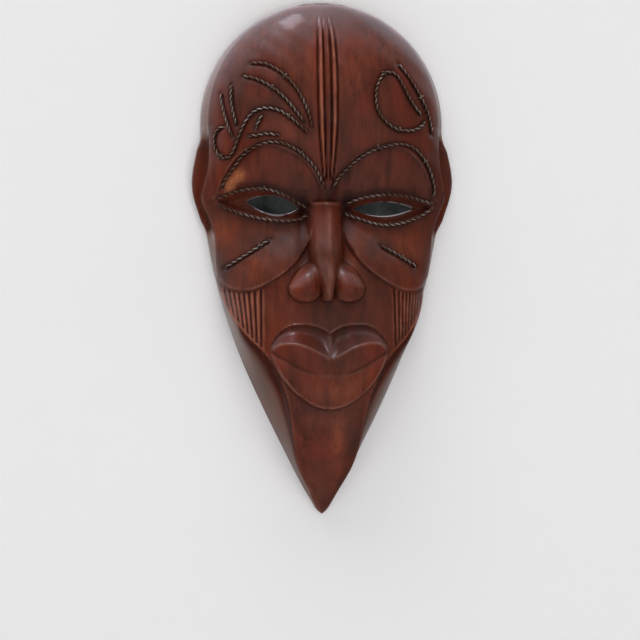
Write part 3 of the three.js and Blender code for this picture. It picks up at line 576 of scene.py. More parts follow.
def carving_mesh():
    v = carving_rows()[:, None]
    edge = np.minimum(shoulder(v), outline(v) + ear_bulge(v))
    share = np.linspace(-1, 1, FACE_COLUMNS)[None, :]
    x = edge * share
    rows = v + 0 * x
    groove = 0.85 * bell(distance_to_wires(x, rows), 1.25)
    depth = face_depth(x, rows) + (hand_waver(x, rows) - groove) * smoothstep(1, 0.94, np.abs(share))
    depth = np.maximum(depth, 0.2)
    side = (np.arange(1, FLANK_COLUMNS + 1) / FLANK_COLUMNS)[None, :] ** 1.15
    flank_x, flank_depth = flank(v, side)
    bowl = np.sin(np.linspace(1, -1, HOLLOW_COLUMNS) * math.pi / 2)[None, :]
    hollow_x, hollow_d = hollow(v, bowl)
    rim_share = (np.arange(1, RIM_COLUMNS) / RIM_COLUMNS)[None, :]
    rim_x = mix(flank_x[:, -1:], hollow_x[:, :1], rim_share)
    flat = np.zeros_like(rim_x)
    all_x = np.hstack([x, flank_x, rim_x, hollow_x, -rim_x[:, ::-1], -flank_x[:, ::-1]])
    all_depth = np.hstack([depth, flank_depth, flat, hollow_d, flat, flank_depth[:, ::-1]])
    all_v = v + 0 * all_x
    count = all_x.shape[1]
    grid = np.stack([all_x, -all_depth, all_v], axis=-1).reshape(-1, 3)
    points = np.vstack([grid, [(0, -0.5, 0), (0, -0.5, HEIGHT)]]) * UNIT + np.array([0, 0, TIP_Z])
    low_pole, high_pole = len(grid), len(grid) + 1
    last = (len(v) - 1) * count
    faces = []
    for i in range(count):
        j = (i + 1) % count
        faces.append((low_pole, j, i))
        faces.append((high_pole, last + i, last + j))
    for row in range(len(v) - 1):
        base = row * count
        for i in range(count):
            j = (i + 1) % count
            faces.append((base + i, base + j, base + j + count, base + i + count))
    return mesh_object("mask_carving", points, faces)


# A slit flares: its lower edge is arched lower in front, and flatter at the back.
SLIT_FRONT_DROOP, SLIT_BACK_DROOP = 1.3, -0.45


def lens_points(eye, droop, sides=26):
    """The slit's outline, its lower edge arched lower by the share droop."""
    slit = eye["slit"]
    share = np.linspace(-1, 1, sides)
    arch = slit["half_height"] * (1 - share**2)
    x = slit["x"] + slit["half_length"] * share
    level = slit["v"] + slit["tilt"] * slit["half_length"] * share
    upper = list(zip(x, level + arch))
    lower = list(zip(x, level - arch * (1 + droop)))
    return upper + lower[-2:0:-1]


NICHE = {"half_width": 13, "top": 285, "bottom": 228, "depth": 7, "corner": 5}


def niche_points():
    w, r = NICHE["half_width"], NICHE["corner"]
    top, bottom = NICHE["top"], NICHE["bottom"]
    ring = [(-w, bottom), (w, bottom)]
    for middle, start in ((w - r, 0), (r - w, math.pi / 2)):
        turns = start + np.linspace(0, math.pi / 2, 9)
        ring += [(middle + r * math.cos(t), top - r + r * math.sin(t)) for t in turns]
    return ring


# Where handling has rubbed the stain back to a warmer colour: (x, v, reach along x, reach along v, strength).
RUBBED = [
    (-58, 166, 7, 12, 0.55), (-42, 146, 13, 9, 0.45), (-50, 120, 11, 14, 0.5),
    (50, 120, 11, 14, 0.4), (-26, 218, 14, 8, 0.30), (14, 152, 4, 12, 0.5), (6, 45, 4, 22, 0.45),
    (6, 74, 16, 7, 0.45), (10, 88, 14, 8, 0.25), (0, 255, 30, 14, 0.25), (46, 152, 12, 12, 0.45),
    (-4, 56, 14, 8, 0.30), (-6, 16, 10, 14, 0.30),
]  # fmt: skip

# Where the bare wood shines through like old gold, in the same form.
GILT = [(-55, 188, 4, 5, 1.0), (-50, 194.5, 5, 4.5, 0.9)]


def patches_at(x, v, patches):
    return sum(s * bell(x - a, ra) * bell(v - b, rb) for a, b, ra, rb, s in patches)


def vertex_values(mesh, name):
    values = np.empty(len(mesh.vertices) * 3, dtype=np.float32)
    mesh.vertices.foreach_get(name, values)
    return values.reshape(-1, 3)


def store(mesh, name, values):
    layer = mesh.attributes.new(name, "FLOAT", "POINT")
    layer.data.foreach_set("value", np.ascontiguousarray(values, dtype=np.float32))


# The share of the flank's width, beside the beard, darkened as painted shade.
jaw_shade = profile((15, 0.15), (60, 0.3), (85, 0.45), (104, 0.55), (112, 0.05))


def inside_of(away, y, v, back_facing):
    """Where the hollow, the niche and the flat rim are."""
    in_niche = (away < NICHE["half_width"] + 1) & (v > NICHE["bottom"] - 1) & (y > -NICHE["depth"] - 1)
    return in_niche | (y > -0.6) | (back_facing & (away < outline(v) - RIM_WIDTH + 2))


def bend_of(x, v, reach=1.3):
    """How hollow the front is at each point: below zero on a crest."""
    around = [face_depth(x + reach, v), face_depth(x - reach, v), face_depth(x, v + reach), face_depth(x, v - reach)]
    return (sum(around) / 4 - face_depth(x, v)) / reach


def painted_hollow_shade(x, v, away):
    """Painted shade: darker under the brows, beside the nose, between the eyes, in the lip's scoops and along the
    mouth.
    """
    on_lips = away < LIP_REACH
    crease = bell(v - eye_lines(x)[0] - 2.4, 1.7) * smoothstep(56, 40, away) * smoothstep(6, 10, away)
    valley = bell(np.abs(x - NOSE_X) - nose_half_width(v) - 4.2, 3.4) * smoothstep(140, 150, v) * (v < 186)
    nasion = bell(x, 6) * bell(v - 183, 4.5)
    scoops = (v < lip_top(away)) * (v > lip_ridge(away)) * on_lips
    groove = bell(v - mouth_line(away) - 1.1, 0.8) * smoothstep(4, 14, away) * (away < LIP_REACH - 1)
    return 0.55 * groove + 0.5 * crease + 0.55 * valley + 0.7 * nasion + 0.3 * scoops


def highlight_and_wear_lines(x, v, away):
    """Lighter lines along the nose's crest, the mouth and the lip's ridge: painted highlight and wear."""
    on_lips = away < LIP_REACH - 1
    crest = bell(x - NOSE_X - 1.2, 1.3) * smoothstep(127, 133, v) * (1 - smoothstep(172, 177, v))
    mouth = bell(v - mouth_line(away), 0.55) * on_lips
    ridge = bell(v - lip_ridge(away), 0.7) * on_lips
    return 0.8 * crest + 0.55 * mouth + 0.5 * ridge


def paint_carving(carving):
    """Stores what the wood's shader needs at each point of the carving."""
    mesh = carving.data
    x, y, v = (vertex_values(mesh, "co") - np.array([0, 0, TIP_Z])).T / UNIT
    normal = vertex_values(mesh, "normal")
    away = np.abs(x)
    beyond = away - shoulder(v)
    inner = inside_of(away, y, v, normal[:, 1] > 0.03)
    off_front = np.abs(face_depth(x, v) + y)
    front = smoothstep(3.0, 1.4, off_front) * (beyond < 0.4)

    bend = bend_of(x, v)
    # Lighter on convex crests and along the shoulder's edge: wear and painted highlight.
    wear_and_highlight = smoothstep(0.05, 0.5, -bend) * front * mix(1, 0.15, bell(x, 2.2) * (v > 180))
    edge = bell(beyond, 0.8) * smoothstep(0.5, 3, -y) * (v < 215)
    store(mesh, "wear_and_highlight", np.clip(wear_and_highlight + 0.8 * edge + highlight_and_wear_lines(x, v, away) * front, 0, 1))

    across = beyond / np.maximum(outline(v) - shoulder(v), 1)
    beside_beard = smoothstep(1.1 * jaw_shade(v), 0.4 * jaw_shade(v), across) * (across > 0) * (1 - inner)
    ribbed = smoothstep(8.5, 6, away) * smoothstep(180, 186, v)
    # Darker in the front's hollows and creases, in the score lines and beside the beard: painted shade; darker near the
    # wires: stain.
    recess = smoothstep(0.06, 0.6, bend) * mix(0.42, 1, ribbed)
    to_wire = distance_to_wires(x, v)
    lines = score_lines(x, v) * front
    shaded = recess + painted_hollow_shade(x, v, away) + 0.4 * bell(to_wire, 1.8) + 0.3 * bell(to_wire, 5)
    store(mesh, "recess", np.clip(shaded * front + 0.9 * lines + 0.62 * beside_beard, 0, 1))

    ribs = bell(away / rib_spread(v) - 3.6, 0.75) * smoothstep(192, 212, v) * (1 - smoothstep(262, 280, v))
    scored = smoothstep(0.4, 2.2, -above_cheek_edge(x, v)) * smoothstep(35, 38, away) * (v > 90) * front
    gilt = patches_at(x, v, GILT) * front
    store(mesh, "gilt", np.clip(gilt, 0, 1))
    handled = patches_at(x, v, RUBBED) * front
    store(mesh, "rubbed", np.clip(handled + gilt + ribs + 0.55 * scored * (1 - lines), 0, 1))

    by_beard = smoothstep(1.3 * jaw_shade(v), 0.5 * jaw_shade(v), across)
    # Paler grey-brown on sideways-facing flanks: painted sheen in place of their reflection.
    on_flank = smoothstep(-7, 1, beyond) * smoothstep(0.45, 0.9, np.abs(normal[:, 0])) * (1 - inner)
    upper_lid, lower_lid = eye_lines(x)
    slit_wall = (off_front > 0.7) & (v < upper_lid) & (v > lower_lid) & (away < 60)
    beard_side = by_beard * smoothstep(-1.2, -0.2, beyond) * (v < 112)
    store(mesh, "inside", inner.astype(float))
    store(mesh, "painted_flank_sheen", on_flank * (1 - by_beard))
    store(mesh, "matt", np.clip(0.9 * slit_wall + 0.9 * beard_side + 0.8 * inner, 0, 1))


# ---------------------------------------------------------------- materials


class Nodes:
    """A small helper that adds and links shader nodes."""

    def __init__(self, name):
        self.material = bpy.data.materials.new(name)
        self.material.use_nodes = True
        self.tree = self.material.node_tree
        self.shader = self.tree.nodes["Principled BSDF"]

    def add(self, kind, **settings):
        node = self.tree.nodes.new(kind)
        for key, value in settings.items():
            if key in node.inputs:
                node.inputs[key].default_value = value
            else:
                setattr(node, key, value)
        return node

    def link(self, source, target):
        self.tree.links.new(source, target)
        return target

    def set(self, **values):
        for key, value in values.items():
            self.shader.inputs[key.replace("_", " ")].default_value = value

    def attribute(self, name):
        return self.add("ShaderNodeAttribute", attribute_name=name).outputs["Fac"]

    def noise(self, scale, detail=4.0, roughness=0.55, distortion=0.0, stretch=(1, 1, 1)):
        coordinates = self.add("ShaderNodeTexCoord")
        mapping = self.add("ShaderNodeMapping", Scale=stretch)
        self.link(coordinates.outputs["Object"], mapping.inputs["Vector"])
        noise = self.add("ShaderNodeTexNoise", Scale=scale, Detail=detail, Roughness=roughness, Distortion=distortion)
        self.link(mapping.outputs["Vector"], noise.inputs["Vector"])
        return noise.outputs["Fac"]

    def ramp(self, source, *stops):
        node = self.add("ShaderNodeValToRGB")
        elements = node.color_ramp.elements
        while len(elements) < len(stops):
            elements.new(0.5)
        for element, (position, colour) in zip(elements, stops):
            element.position = position
            element.color = (*colour, 1)
        self.link(source, node.inputs["Fac"])
        return node.outputs["Color"]

    def grey_ramp(self, source, low, low_level, high, high_level):
        return self.ramp(source, (low, (low_level,) * 3), (high, (high_level,) * 3))

    def mask(self, source, low, high):
        """Black below low, white above high."""
        return self.grey_ramp(source, low, 0.0, high, 1.0)

    def times(self, first, second):
        return self.math("MULTIPLY", first, second)

    def blend(self, share, first, second):
        node = self.add("ShaderNodeMix", data_type="RGBA")
        for socket, value in (("Factor", share), ("A", first), ("B", second)):
            wanted = "VALUE" if socket == "Factor" else "RGBA"
            target = next(s for s in node.inputs if s.name == socket and s.type == wanted)
            if isinstance(value, (tuple, float, int)):
                target.default_value = (*value, 1) if isinstance(value, tuple) else value
            else:
                self.link(value, target)
        return next(s for s in node.outputs if s.type == "RGBA")

    def math(self, operation, first, second):
        node = self.add("ShaderNodeMath", operation=operation)
        for target, value in zip(node.inputs, (first, second)):
            if isinstance(value, (float, int)):
                target.default_value = value
            else:
                self.link(value, target)
        return node.outputs[0]

    def bump(self, *layers):
        """layers are (height, strength, distance in metres), the first one innermost."""
        normal = None
        for height, strength, distance in layers:
            node = self.add("ShaderNodeBump", Strength=strength, Distance=distance)
            self.link(height, node.inputs["Height"])
            if normal:
                self.link(normal, node.inputs["Normal"])
            normal = node.outputs["Normal"]
        self.link(normal, self.shader.inputs["Normal"])


def carved_wood():
    n = Nodes("stained_carved_wood")
    grain = n.noise(34, detail=7, roughness=0.62, distortion=0.5, stretch=(9, 9, 0.7))
    streaks = n.noise(12, detail=3, roughness=0.5, distortion=1.0, stretch=(3, 3, 0.5))
    patches = n.noise(26, detail=3, roughness=0.5)
    pores = n.noise(300, detail=2, roughness=0.6, stretch=(3.2, 3.2, 0.22))
    broken = n.mask(n.noise(90, detail=5, roughness=0.7, stretch=(1.6, 1.6, 0.7)), 0.30, 0.62)
    speckle = n.mask(n.noise(700, detail=3, roughness=0.7), 0.28, 0.72)
    stain = ((0.28, (0.042, 0.0085, 0.0046)), (0.52, (0.088, 0.0160, 0.0068)), (0.76, (0.140, 0.0270, 0.0090)))
    colour = n.ramp(grain, *stain)
    # Each layer over the stain: how much of it shows, and its colour.
    for share, layer in (
        (n.mask(streaks, 0.42, 0.66), (0.135, 0.0190, 0.0070)),
        (n.times(n.mask(patches, 0.44, 0.66), 0.62), (0.046, 0.0165, 0.0100)),
        (n.times(n.attribute("rubbed"), broken), (0.26, 0.050, 0.015)),
        (n.times(n.times(n.mask(n.attribute("gilt"), 0.25, 1.0), speckle), 0.8), (0.58, 0.20, 0.062)),
        # Lighter on crests and edges: wear and painted highlight.
        (n.times(n.times(n.attribute("wear_and_highlight"), broken), 0.5), (0.25, 0.105, 0.070)),
        # Darker in hollows, creases, score lines and beside the beard: painted shade; near the wires, stain.
        (n.times(n.attribute("recess"), 0.85), (0.012, 0.0048, 0.0040)),
        (n.times(n.mask(pores, 0.64, 0.73), 0.6), (0.014, 0.006, 0.0045)),
        # Paler grey-brown on the flanks: painted sheen.
        (n.times(n.attribute("painted_flank_sheen"), 0.62), (0.205, 0.120, 0.086)),
        (n.times(n.attribute("inside"), 0.6), (0.060, 0.030, 0.018)),
    ):
        colour = n.blend(share, colour, layer)
    n.link(colour, n.shader.inputs["Base Color"])
    roughness = n.blend(n.attribute("inside"), n.grey_ramp(patches, 0.35, 0.38, 0.7, 0.52), (0.8, 0.8, 0.8))
    n.link(roughness, n.shader.inputs["Roughness"])
    shine = n.math("SUBTRACT", 1.0, n.attribute("matt"))
    n.link(n.times(shine, 0.38), n.shader.inputs["Coat Weight"])
    n.link(n.times(shine, 0.34), n.shader.inputs["Specular IOR Level"])
    n.set(Coat_Roughness=0.16, Coat_IOR=1.45)
    n.bump((grain, 0.16, 0.0006), (pores, 0.10, 0.0003), (patches, 0.12, 0.0012))
    return n.material


def twisted_bronze():
    """Painted shade and glint: dark in the twist's valleys, brighter on its crowns."""
    n = Nodes("darkened_wire")
    fine = n.noise(900, detail=3, roughness=0.6)
    tone = n.mask(n.noise(42, detail=3, roughness=0.6), 0.40, 0.60)
    bare_glint = n.blend(tone, (0.24, 0.125, 0.072), (0.50, 0.42, 0.36))
    bare_glint = n.blend(n.mask(fine, 0.35, 0.65), n.blend(0.6, bare_glint, (0.06, 0.025, 0.017)), bare_glint)
    # Painted shade below the twist's crowns, painted glint on them.
    colour = n.blend(n.mask(n.attribute("crown"), 0.40, 0.98), (0.042, 0.017, 0.012), bare_glint)
    n.link(colour, n.shader.inputs["Base Color"])
    n.link(n.grey_ramp(fine, 0.3, 0.45, 0.8, 0.27), n.shader.inputs["Roughness"])
    n.set(Metallic=0.55)
    n.bump((fine, 0.2, 0.0001))
    return n.material


def pin_metal():
    n = Nodes("rubbed_pin")
    tarnish = n.noise(700, detail=3)
    colour = n.ramp(tarnish, (0.35, (0.12, 0.07, 0.045)), (0.7, (0.48, 0.36, 0.26)))
    n.link(colour, n.shader.inputs["Base Color"])
    n.link(n.grey_ramp(tarnish, 0.3, 0.45, 0.8, 0.28), n.shader.inputs["Roughness"])
    n.set(Metallic=0.9)
    return n.material


def zinc_steel():
    n = Nodes("zinc_plated_steel")
    spangle = n.noise(260, detail=5, roughness=0.6, distortion=0.6)
    colour = n.ramp(spangle, (0.3, (0.34, 0.34, 0.33)), (0.55, (0.52, 0.52, 0.50)), (0.8, (0.63, 0.62, 0.58)))
    n.link(colour, n.shader.inputs["Base Color"])
    n.link(n.grey_ramp(spangle, 0.3, 0.42, 0.8, 0.26), n.shader.inputs["Roughness"])
    n.set(Metallic=1.0)
    n.bump((n.noise(1500, detail=2, stretch=(1, 1, 0.2)), 0.08, 0.0001))
    return n.material


# ---------------------------------------------------------------- the pieces


def build_carving(material):
    carving = carving_mesh()
    for name, eye in (("left_slit", LEFT_EYE), ("right_slit", RIGHT_EYE)):
        cut(carving, prism(name, lens_points(eye, SLIT_FRONT_DROOP), 60, 4, lens_points(eye, SLIT_BACK_DROOP)))
    cut(carving, prism("niche", niche_points(), NICHE["depth"], -5))
    for polygon in carving.data.polygons:
        polygon.use_smooth = True
    carving.data.set_sharp_from_angle(angle=math.radians(55))
    paint_carving(carving)
    finish_piece(carving, "mask_body", material)


WIRE_END_SINK, WIRE_END_LENGTH = 1.9, 1.6  # how far, and over what length, a wire's ends turn down into the wood
STRAND_SIDES = 9


def strand_path(route, phase):
    """One strand of a twisted pair, with the pair's centreline and its normals."""
    along = np.concatenate([[0], np.cumsum(np.linalg.norm(np.diff(route, axis=0), axis=1))])
    length = along[-1]
    end = np.minimum(along, length - along)
    lift = WIRE_SEAT - WIRE_END_SINK * (1 - smoothstep(0, WIRE_END_LENGTH, end))
    centre, normal = surface(route[:, 0], route[:, 1], lift)
    tangent = np.gradient(centre, axis=0)
    tangent /= np.linalg.norm(tangent, axis=1, keepdims=True)
    normal = normal - tangent * np.sum(normal * tangent, axis=1, keepdims=True)
    normal /= np.linalg.norm(normal, axis=1, keepdims=True)
    across = np.cross(tangent, normal)
    turn = 2 * math.pi * along / TWIST_PITCH + phase
    offset = np.cos(turn)[:, None] * normal + np.sin(turn)[:, None] * across
    return centre + offset * STRAND_RADIUS * UNIT, centre, normal


def joined(name, parts):
    """One object from several meshes."""
    bm = bmesh.new()
    for part in parts:
        bm.from_mesh(part.data)
        bpy.data.objects.remove(part)
    mesh = bpy.data.meshes.new(name)
    bm.to_mesh(mesh)
    bm.free()
    return placed(name, mesh)


def build_wires(material):
    """Every twisted wire, each point of it knowing how near the twist's crown it is."""
    for number, (name, route) in enumerate(ROUTES.items()):
        strands, crowns = [], []
        for k in (0, 1):
            path, centre, normal = strand_path(route, math.pi * k + number)
            strand = sweep(f"{name}_strand_{k}", path, STRAND_RADIUS * UNIT, STRAND_SIDES)
            strands.append(strand)
            points = vertex_values(strand.data, "co").reshape(len(path), STRAND_SIDES, 3)
            crowns.append(np.einsum("ijk,ik->ij", points - centre[:, None, :], normal).ravel())
        wire = joined(f"twisted_{name}", strands)
        store(wire.data, "crown", np.concatenate(crowns) / (2 * STRAND_RADIUS * UNIT))
        finish_piece(wire, name, material)


STAPLE_HALF_WIDTH, STAPLE_RADIUS, STAPLE_SINK = 1.5, 0.34, 2.5


def staple_path(wire, share):
    """A bent pin over the wire at a share of its length, both legs down in the wood."""
    route = ROUTES[wire]
    i = int(round(share * (len(route) - 1)))
    along = route[i + 1] - route[i - 1]
    along = along / np.linalg.norm(along)
    across = np.array([-along[1], along[0]])
    turns = np.linspace(0, math.pi, 11)
    top = WIRE_SEAT + 2 * STRAND_RADIUS + STAPLE_RADIUS * 0.6
    side = [-1, *(-np.cos(turns)), 1]
    height = [-STAPLE_SINK, *(mix(0.2, top, np.sin(turns) ** 0.6)), -STAPLE_SINK]
    feet = route[i] + np.outer(np.array(side) * STAPLE_HALF_WIDTH, across)
    _, normal = surface(*np.outer(route[i], np.ones(len(feet))))
    foot, _ = surface(feet[:, 0], feet[:, 1])
    return foot + normal * np.array(height)[:, None] * UNIT


def build_staples(material):
    for number, (wire, share) in enumerate(STAPLES, start=1):
        node = f"wire_staple_{number:02d}"
        pin = sweep(f"bent_pin_{number:02d}", staple_path(wire, share), STAPLE_RADIUS * UNIT, 8)
        finish_piece(pin, node, material)


# ---------------------------------------------------------------- the hanger

PLATE_HALF_WIDTH, PLATE_LOW, PLATE_THICKNESS, PLATE_BACK = 4.5, 247, 1.0, 6.7
PIVOT_V, PIVOT_DEPTH = 267.5, 4.8
RING_RADIUS, BARREL_INNER, BARREL_OUTER = 1.0, 1.3, 1.9
RING_HALF_WIDTH, RING_STRAIGHT, RING_CORNER = 7.0, 5.5, 1.6
RING_LEAN = math.radians(4)
SCREW_V, SCREW_HEAD_RADIUS, SCREW_HEAD_HEIGHT = 253.5, 2.9, 1.7
SCREW_SLOT = (1.7, 0.32, 0.75)  # half its length, half its width, and its floor's height over the strap


def extruded_profile(name, ring, half_width):
    """A closed ring of (depth, v) points drawn out along X."""
    return body_between(name, *([(x, -depth, v) for depth, v in ring] for x in (-half_width, half_width)))


def barrel_ring(radius, sides=40):
    turns = np.arange(sides) * 2 * math.pi / sides
    return [(PIVOT_DEPTH + radius * math.cos(t), PIVOT_V + radius * math.sin(t)) for t in turns]


def build_strap(material):
    """A folded strap: a flat tongue with a rounded foot, and a closed barrel round the ring's bar."""
    w, r = PLATE_HALF_WIDTH, 2.2
    foot = [(math.sin(t), math.cos(t)) for t in np.linspace(0, math.pi / 2, 8)]
    right = [(w - r + r * s, PLATE_LOW + r - r * c) for s, c in foot]
    left = [(-x, v) for x, v in reversed(right)]
    tongue = [*left, *right, (w, PIVOT_V + 0.6), (-w, PIVOT_V + 0.6)]
    plate = prism("strap_tongue", tongue, PLATE_BACK, PLATE_BACK - PLATE_THICKNESS)
    barrel = extruded_profile("strap_barrel", barrel_ring(BARREL_OUTER), PLATE_HALF_WIDTH)
    union = plate.modifiers.new("join", "BOOLEAN")
    union.operation = "UNION"
    union.solver = "MANIFOLD"
    union.object = barrel
    apply_modifiers(plate)
    bpy.data.objects.remove(barrel)
    cut(plate, extruded_profile("strap_bore", barrel_ring(BARREL_INNER), PLATE_HALF_WIDTH + 1))
    soften(plate, 0.18, 2)
    finish_piece(plate, "hanger_strap", material)


def soften(piece, width, segments):
    bevel = piece.modifiers.new("soften", "BEVEL")
    bevel.width = width * UNIT
    bevel.segments = segments
    bevel.limit_method = "ANGLE"
    bevel.angle_limit = math.radians(50)
    apply_modifiers(piece)
    for polygon in piece.data.polygons:
        polygon.use_smooth = True
    piece.data.set_sharp_from_angle(angle=math.radians(40))


def build_ring(material):
    """The D ring: one bent wire, its ends meeting inside the barrel."""
    w, r, straight = RING_HALF_WIDTH, RING_CORNER, RING_STRAIGHT
    right = [(0.12, 0), (2, 0), (w - r, 0)]
    right += [(w - r + r * math.sin(t), r - r * math.cos(t)) for t in np.linspace(0.3, math.pi / 2, 6)]
    right += [(w, straight)]
    bow = [(w * math.cos(t), straight + w * math.sin(t)) for t in np.linspace(0.08, math.pi - 0.08, 40)]
    left = [(-x, up) for x, up in reversed(right)]
    loop = [(x, -PIVOT_DEPTH - up * math.sin(RING_LEAN), PIVOT_V + up * math.cos(RING_LEAN))
            for x, up in [*right, *bow, *left]]  # fmt: skip
    ring = sweep("bent_d_ring", to_metres(loop), RING_RADIUS * UNIT, 16)
    finish_piece(ring, "hanger_ring", material, body="ring")


def build_screw(material):
    """A round-headed screw with a cross recess, its thread down in the wood."""
    head = [(0.0, 0.0), (1.5, 0.0), (SCREW_HEAD_RADIUS, 0.05)]
    arc = np.linspace(0.15, math.pi / 2, 9)
    head += [(SCREW_HEAD_RADIUS * math.cos(t), SCREW_HEAD_HEIGHT * math.sin(t)) for t in arc]
    shank = [(1.4, -0.01)] + [(1.05 + 0.4 * (k % 2), -1.2 - 0.55 * k) for k in range(16)] + [(0.0, -11.0)]
    section = [*reversed(shank), *head[1:]]
    sides = 32
    points, faces = [(0, 0, section[0][1])], []
    for radius, height in section[1:-1]:
        for k in range(sides):
            turn = 2 * math.pi * k / sides
            points.append((radius * math.cos(turn), radius * math.sin(turn), height))
    points.append((0, 0, section[-1][1]))
    rings = len(section) - 2
    for k in range(sides):
        m = (k + 1) % sides
        faces.append((0, 1 + m, 1 + k))
        faces.append((len(points) - 1, 1 + (rings - 1) * sides + k, 1 + (rings - 1) * sides + m))
        for ring in range(rings - 1):
            a, b = 1 + ring * sides + k, 1 + ring * sides + m
            faces.append((a, b, b + sides, a + sides))
    outward = PLATE_BACK - PLATE_THICKNESS
    placed = [(x, -outward + height + 0.02, SCREW_V + y) for x, y, height in points]
    screw = mesh_object("round_head_screw", to_metres(placed), faces)
    long, short, floor_depth = SCREW_SLOT
    for w, h in ((long, short), (short, long)):
        slot = [(-w, SCREW_V - h), (w, SCREW_V - h), (w, SCREW_V + h), (-w, SCREW_V + h)]
        cut(screw, prism("slot", slot, outward - floor_depth, outward - 4))
    soften(screw, 0.06, 2)
    finish_piece(screw, "hanger_screw", material)


# ---------------------------------------------------------------- stage, light and camera

WALL_GAP, WALL_REACH, WALL_TOP = 0.0006, 3.0, 2.0
FLOOR_Z, FLOOR_REACH = -0.62, 4.0
SHADE_LOW, SHADE_HIGH = 62, 236  # in millimetres above the beard's tip


def plain(name, colour, roughness):
    """One even colour, for the stage."""
    n = Nodes(name)
    n.set(Base_Color=(*colour, 1), Roughness=roughness)
    return n.material


def one_sided(material):
    """Makes a stage material clear from behind, so that the mask's back can be seen."""
    tree = material.node_tree
    side = tree.nodes.new("ShaderNodeNewGeometry")
    clear = tree.nodes.new("ShaderNodeBsdfTransparent")
    chosen = tree.nodes.new("ShaderNodeMixShader")
    tree.links.new(side.outputs["Backfacing"], chosen.inputs[0])
    tree.links.new(tree.nodes["Principled BSDF"].outputs[0], chosen.inputs[1])
    tree.links.new(clear.outputs[0], chosen.inputs[2])
    tree.links.new(chosen.outputs[0], tree.nodes["Material Output"].inputs["Surface"])
    return material


def backdrop(name, corners, material):
    """A flat stage sheet facing -Y that the camera sees and that takes no part in the light."""
    mesh = bpy.data.meshes.new(name)
    mesh.from_pydata(corners, [], [tuple(range(len(corners)))])
    made = placed(name, mesh)
    made.data.materials.append(one_sided(material))
    made.visible_shadow = False
    made.visible_diffuse = False
    made.visible_glossy = False


def build_wall():
    """A pale wall just behind the mask, and a painted shadow on it inside the mask's hollow: a dark, faintly glowing
    sheet.
    """
    r, low, high = WALL_REACH, FLOOR_Z, WALL_TOP
    corners = [(-r, WALL_GAP, low), (r, WALL_GAP, low), (r, WALL_GAP, high), (-r, WALL_GAP, high)]
    backdrop("wall", corners, plain("pale_wall", (0.745, 0.74, 0.735), 0.9))
    v = np.linspace(SHADE_LOW, SHADE_HIGH, 30)
    half = (outline(v) - RIM_WIDTH - 1) * UNIT
    z = v * UNIT + TIP_Z
    ring = [*zip(half, z), *zip(-half[::-1], z[::-1])]
    n = Nodes("wall_in_shade")
    n.set(Base_Color=(0.010, 0.011, 0.011, 1), Roughness=1.0, Specular_IOR_Level=0.0, Emission_Strength=1.0)
    # The faint glow stands in for the dim light on the wall in the mask's shadow.
    glow = n.ramp(n.noise(70, detail=4, roughness=0.65), (0.35, (0.007, 0.008, 0.008)), (0.68, (0.030, 0.033, 0.033)))
    n.link(glow, n.shader.inputs["Emission Color"])
    backdrop("wall_shade", [(x, WALL_GAP / 2, z) for x, z in ring], n.material)


def build_floor():
    """A pale floor far below the mask."""
    r = FLOOR_REACH
    corners = [(-r, -r, FLOOR_Z), (r, -r, FLOOR_Z), (r, r, FLOOR_Z), (-r, r, FLOOR_Z)]
    floor = mesh_object("floor", corners, [(0, 1, 2, 3)], smooth=False)
    floor.data.materials.append(plain("pale_floor", (0.78, 0.78, 0.78), 0.8))
    floor.visible_glossy = False


def area_light(target, name, place, size, power, colour, glossy, matt):
    """A rectangular light that faces the target and is never seen itself."""
    light = bpy.data.lights.new(name, "AREA")
    light.shape = "RECTANGLE"
    light.size, light.size_y = size
    light.energy = power
    light.color = colour
    holder = placed(name, light)
    holder.location = place
    holder.rotation_euler = (Vector(target) - Vector(place)).to_track_quat("-Z", "Y").to_euler()
    holder.visible_camera = False
    holder.visible_glossy = glossy
    holder.visible_diffuse = matt


# The sky's brightness, from 0 at the floor's side to 1 overhead and behind the mask.
SKY = ((0.28, (0.02, 0.02, 0.02)), (0.59, (0.06, 0.06, 0.06)), (0.74, (0.58, 0.57, 0.58)), (0.90, (1.2, 1.25, 1.4)))
SKY_SLOPE, SKY_MIDDLE = (-0.06, 0.28, 0.44), 0.5
SURROUNDINGS = (0.72, 0.73, 0.74, 1)
LIGHT_AIM_Y = -0.03  # the lights aim at the middle of the carving's depth
# Each light's name, place, size, power and colour, and whether it shows in gloss and in matt surfaces.
LIGHTS = [
    ("sky_panel", (-0.35, -0.75, 1.5), (1.6, 1.2), 17, (0.97, 0.98, 1.0), False, True),
    ("sheen_panel", (-0.25, -0.02, 1.5), (0.7, 0.4), 7, (0.84, 0.87, 1.0), True, False),
    ("left_panel", (-1.6, 0.25, 0.3), (0.8, 1.6), 5, (0.96, 0.97, 1.0), False, True),
    ("front_fill", (0.1, -1.9, 0.2), (1.8, 1.8), 17, (1.0, 0.98, 0.96), False, True),
    ("low_fill", (0.3, -1.3, -1.0), (1.2, 1.2), 20, (1.0, 0.95, 0.90), False, True),
    ("back_panel", (0.3, 1.5, 0.6), (1.6, 1.6), 9, (1.0, 0.98, 0.96), False, True),
]


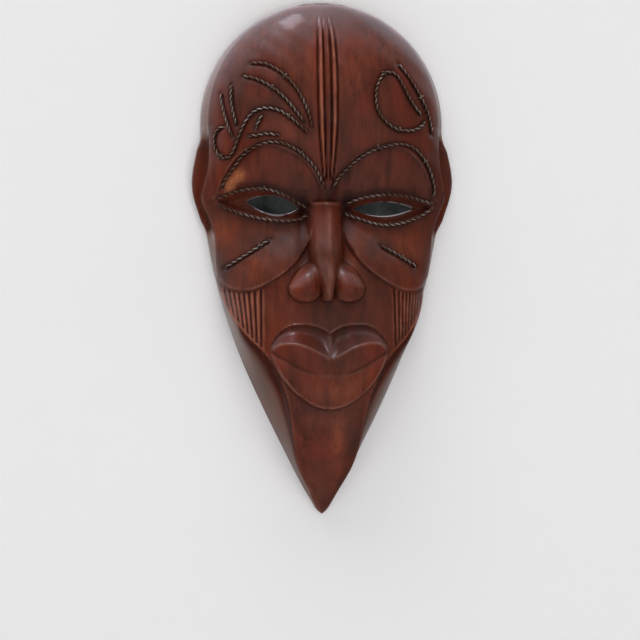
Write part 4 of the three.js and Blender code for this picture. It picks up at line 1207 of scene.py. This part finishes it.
def build_world():
    """A graded sky for the light, and plain pale surroundings where they are seen directly."""
    world = bpy.data.worlds.new("soft_daylight")
    world.use_nodes = True
    bpy.context.scene.world = world
    tree = world.node_tree
    kinds = ("TexCoord", "VectorMath", "Math", "ValToRGB", "Background", "LightPath", "MixShader")
    direction, height, raised, ramp, pale, path, chosen = (tree.nodes.new("ShaderNode" + kind) for kind in kinds)
    sky = tree.nodes["Background"]
    height.operation = "DOT_PRODUCT"
    height.inputs[1].default_value = SKY_SLOPE
    raised.inputs[1].default_value = SKY_MIDDLE
    for position, _ in SKY[2:]:
        ramp.color_ramp.elements.new(position)
    for element, (position, colour) in zip(ramp.color_ramp.elements, SKY):
        element.position = position
        element.color = (*colour, 1)
    pale.inputs["Color"].default_value = SURROUNDINGS
    for source, target in (
        (direction.outputs["Generated"], height.inputs[0]),
        (height.outputs["Value"], raised.inputs[0]),
        (raised.outputs[0], ramp.inputs["Fac"]),
        (ramp.outputs["Color"], sky.inputs["Color"]),
        (path.outputs["Is Camera Ray"], chosen.inputs[0]),
        (sky.outputs[0], chosen.inputs[1]),
        (pale.outputs[0], chosen.inputs[2]),
        (chosen.outputs[0], tree.nodes["World Output"].inputs["Surface"]),
    ):
        tree.links.new(source, target)


CAMERA_AZIMUTH = math.radians(-5.5)
CAMERA_ELEVATION = math.radians(1.5)
CAMERA_DISTANCE = 1.0
SENSOR_WIDTH = 36
VIEW_WIDTH = 0.371  # of the wall, across the picture
AIM_X, AIM_V = -0.9, 112.5


def build_camera():
    """A camera at the photograph's height and angle, aimed below the middle of the mask."""
    aim = Vector((AIM_X * UNIT, 0, AIM_V * UNIT + TIP_Z))
    level = math.cos(CAMERA_ELEVATION)
    away = Vector((math.sin(CAMERA_AZIMUTH) * level, -math.cos(CAMERA_AZIMUTH) * level, math.sin(CAMERA_ELEVATION)))
    lens = bpy.data.cameras.new("camera")
    lens.sensor_width = SENSOR_WIDTH
    lens.lens = SENSOR_WIDTH * CAMERA_DISTANCE / VIEW_WIDTH
    lens.clip_start = 0.02
    holder = placed("camera", lens)
    holder.location = aim + away * CAMERA_DISTANCE
    holder.rotation_euler = (-away).to_track_quat("-Z", "Y").to_euler()
    bpy.context.scene.camera = holder


# ---------------------------------------------------------------- everything

bpy.context.scene.view_settings.view_transform = "Standard"
build_carving(carved_wood())
build_wires(twisted_bronze())
build_staples(pin_metal())
steel = zinc_steel()
build_strap(steel)
build_screw(steel)
build_ring(steel)
build_wall()
build_floor()
build_world()
for light in LIGHTS:
    area_light((0, LIGHT_AIM_Y, AIM_V * UNIT + TIP_Z), *light)
build_camera()
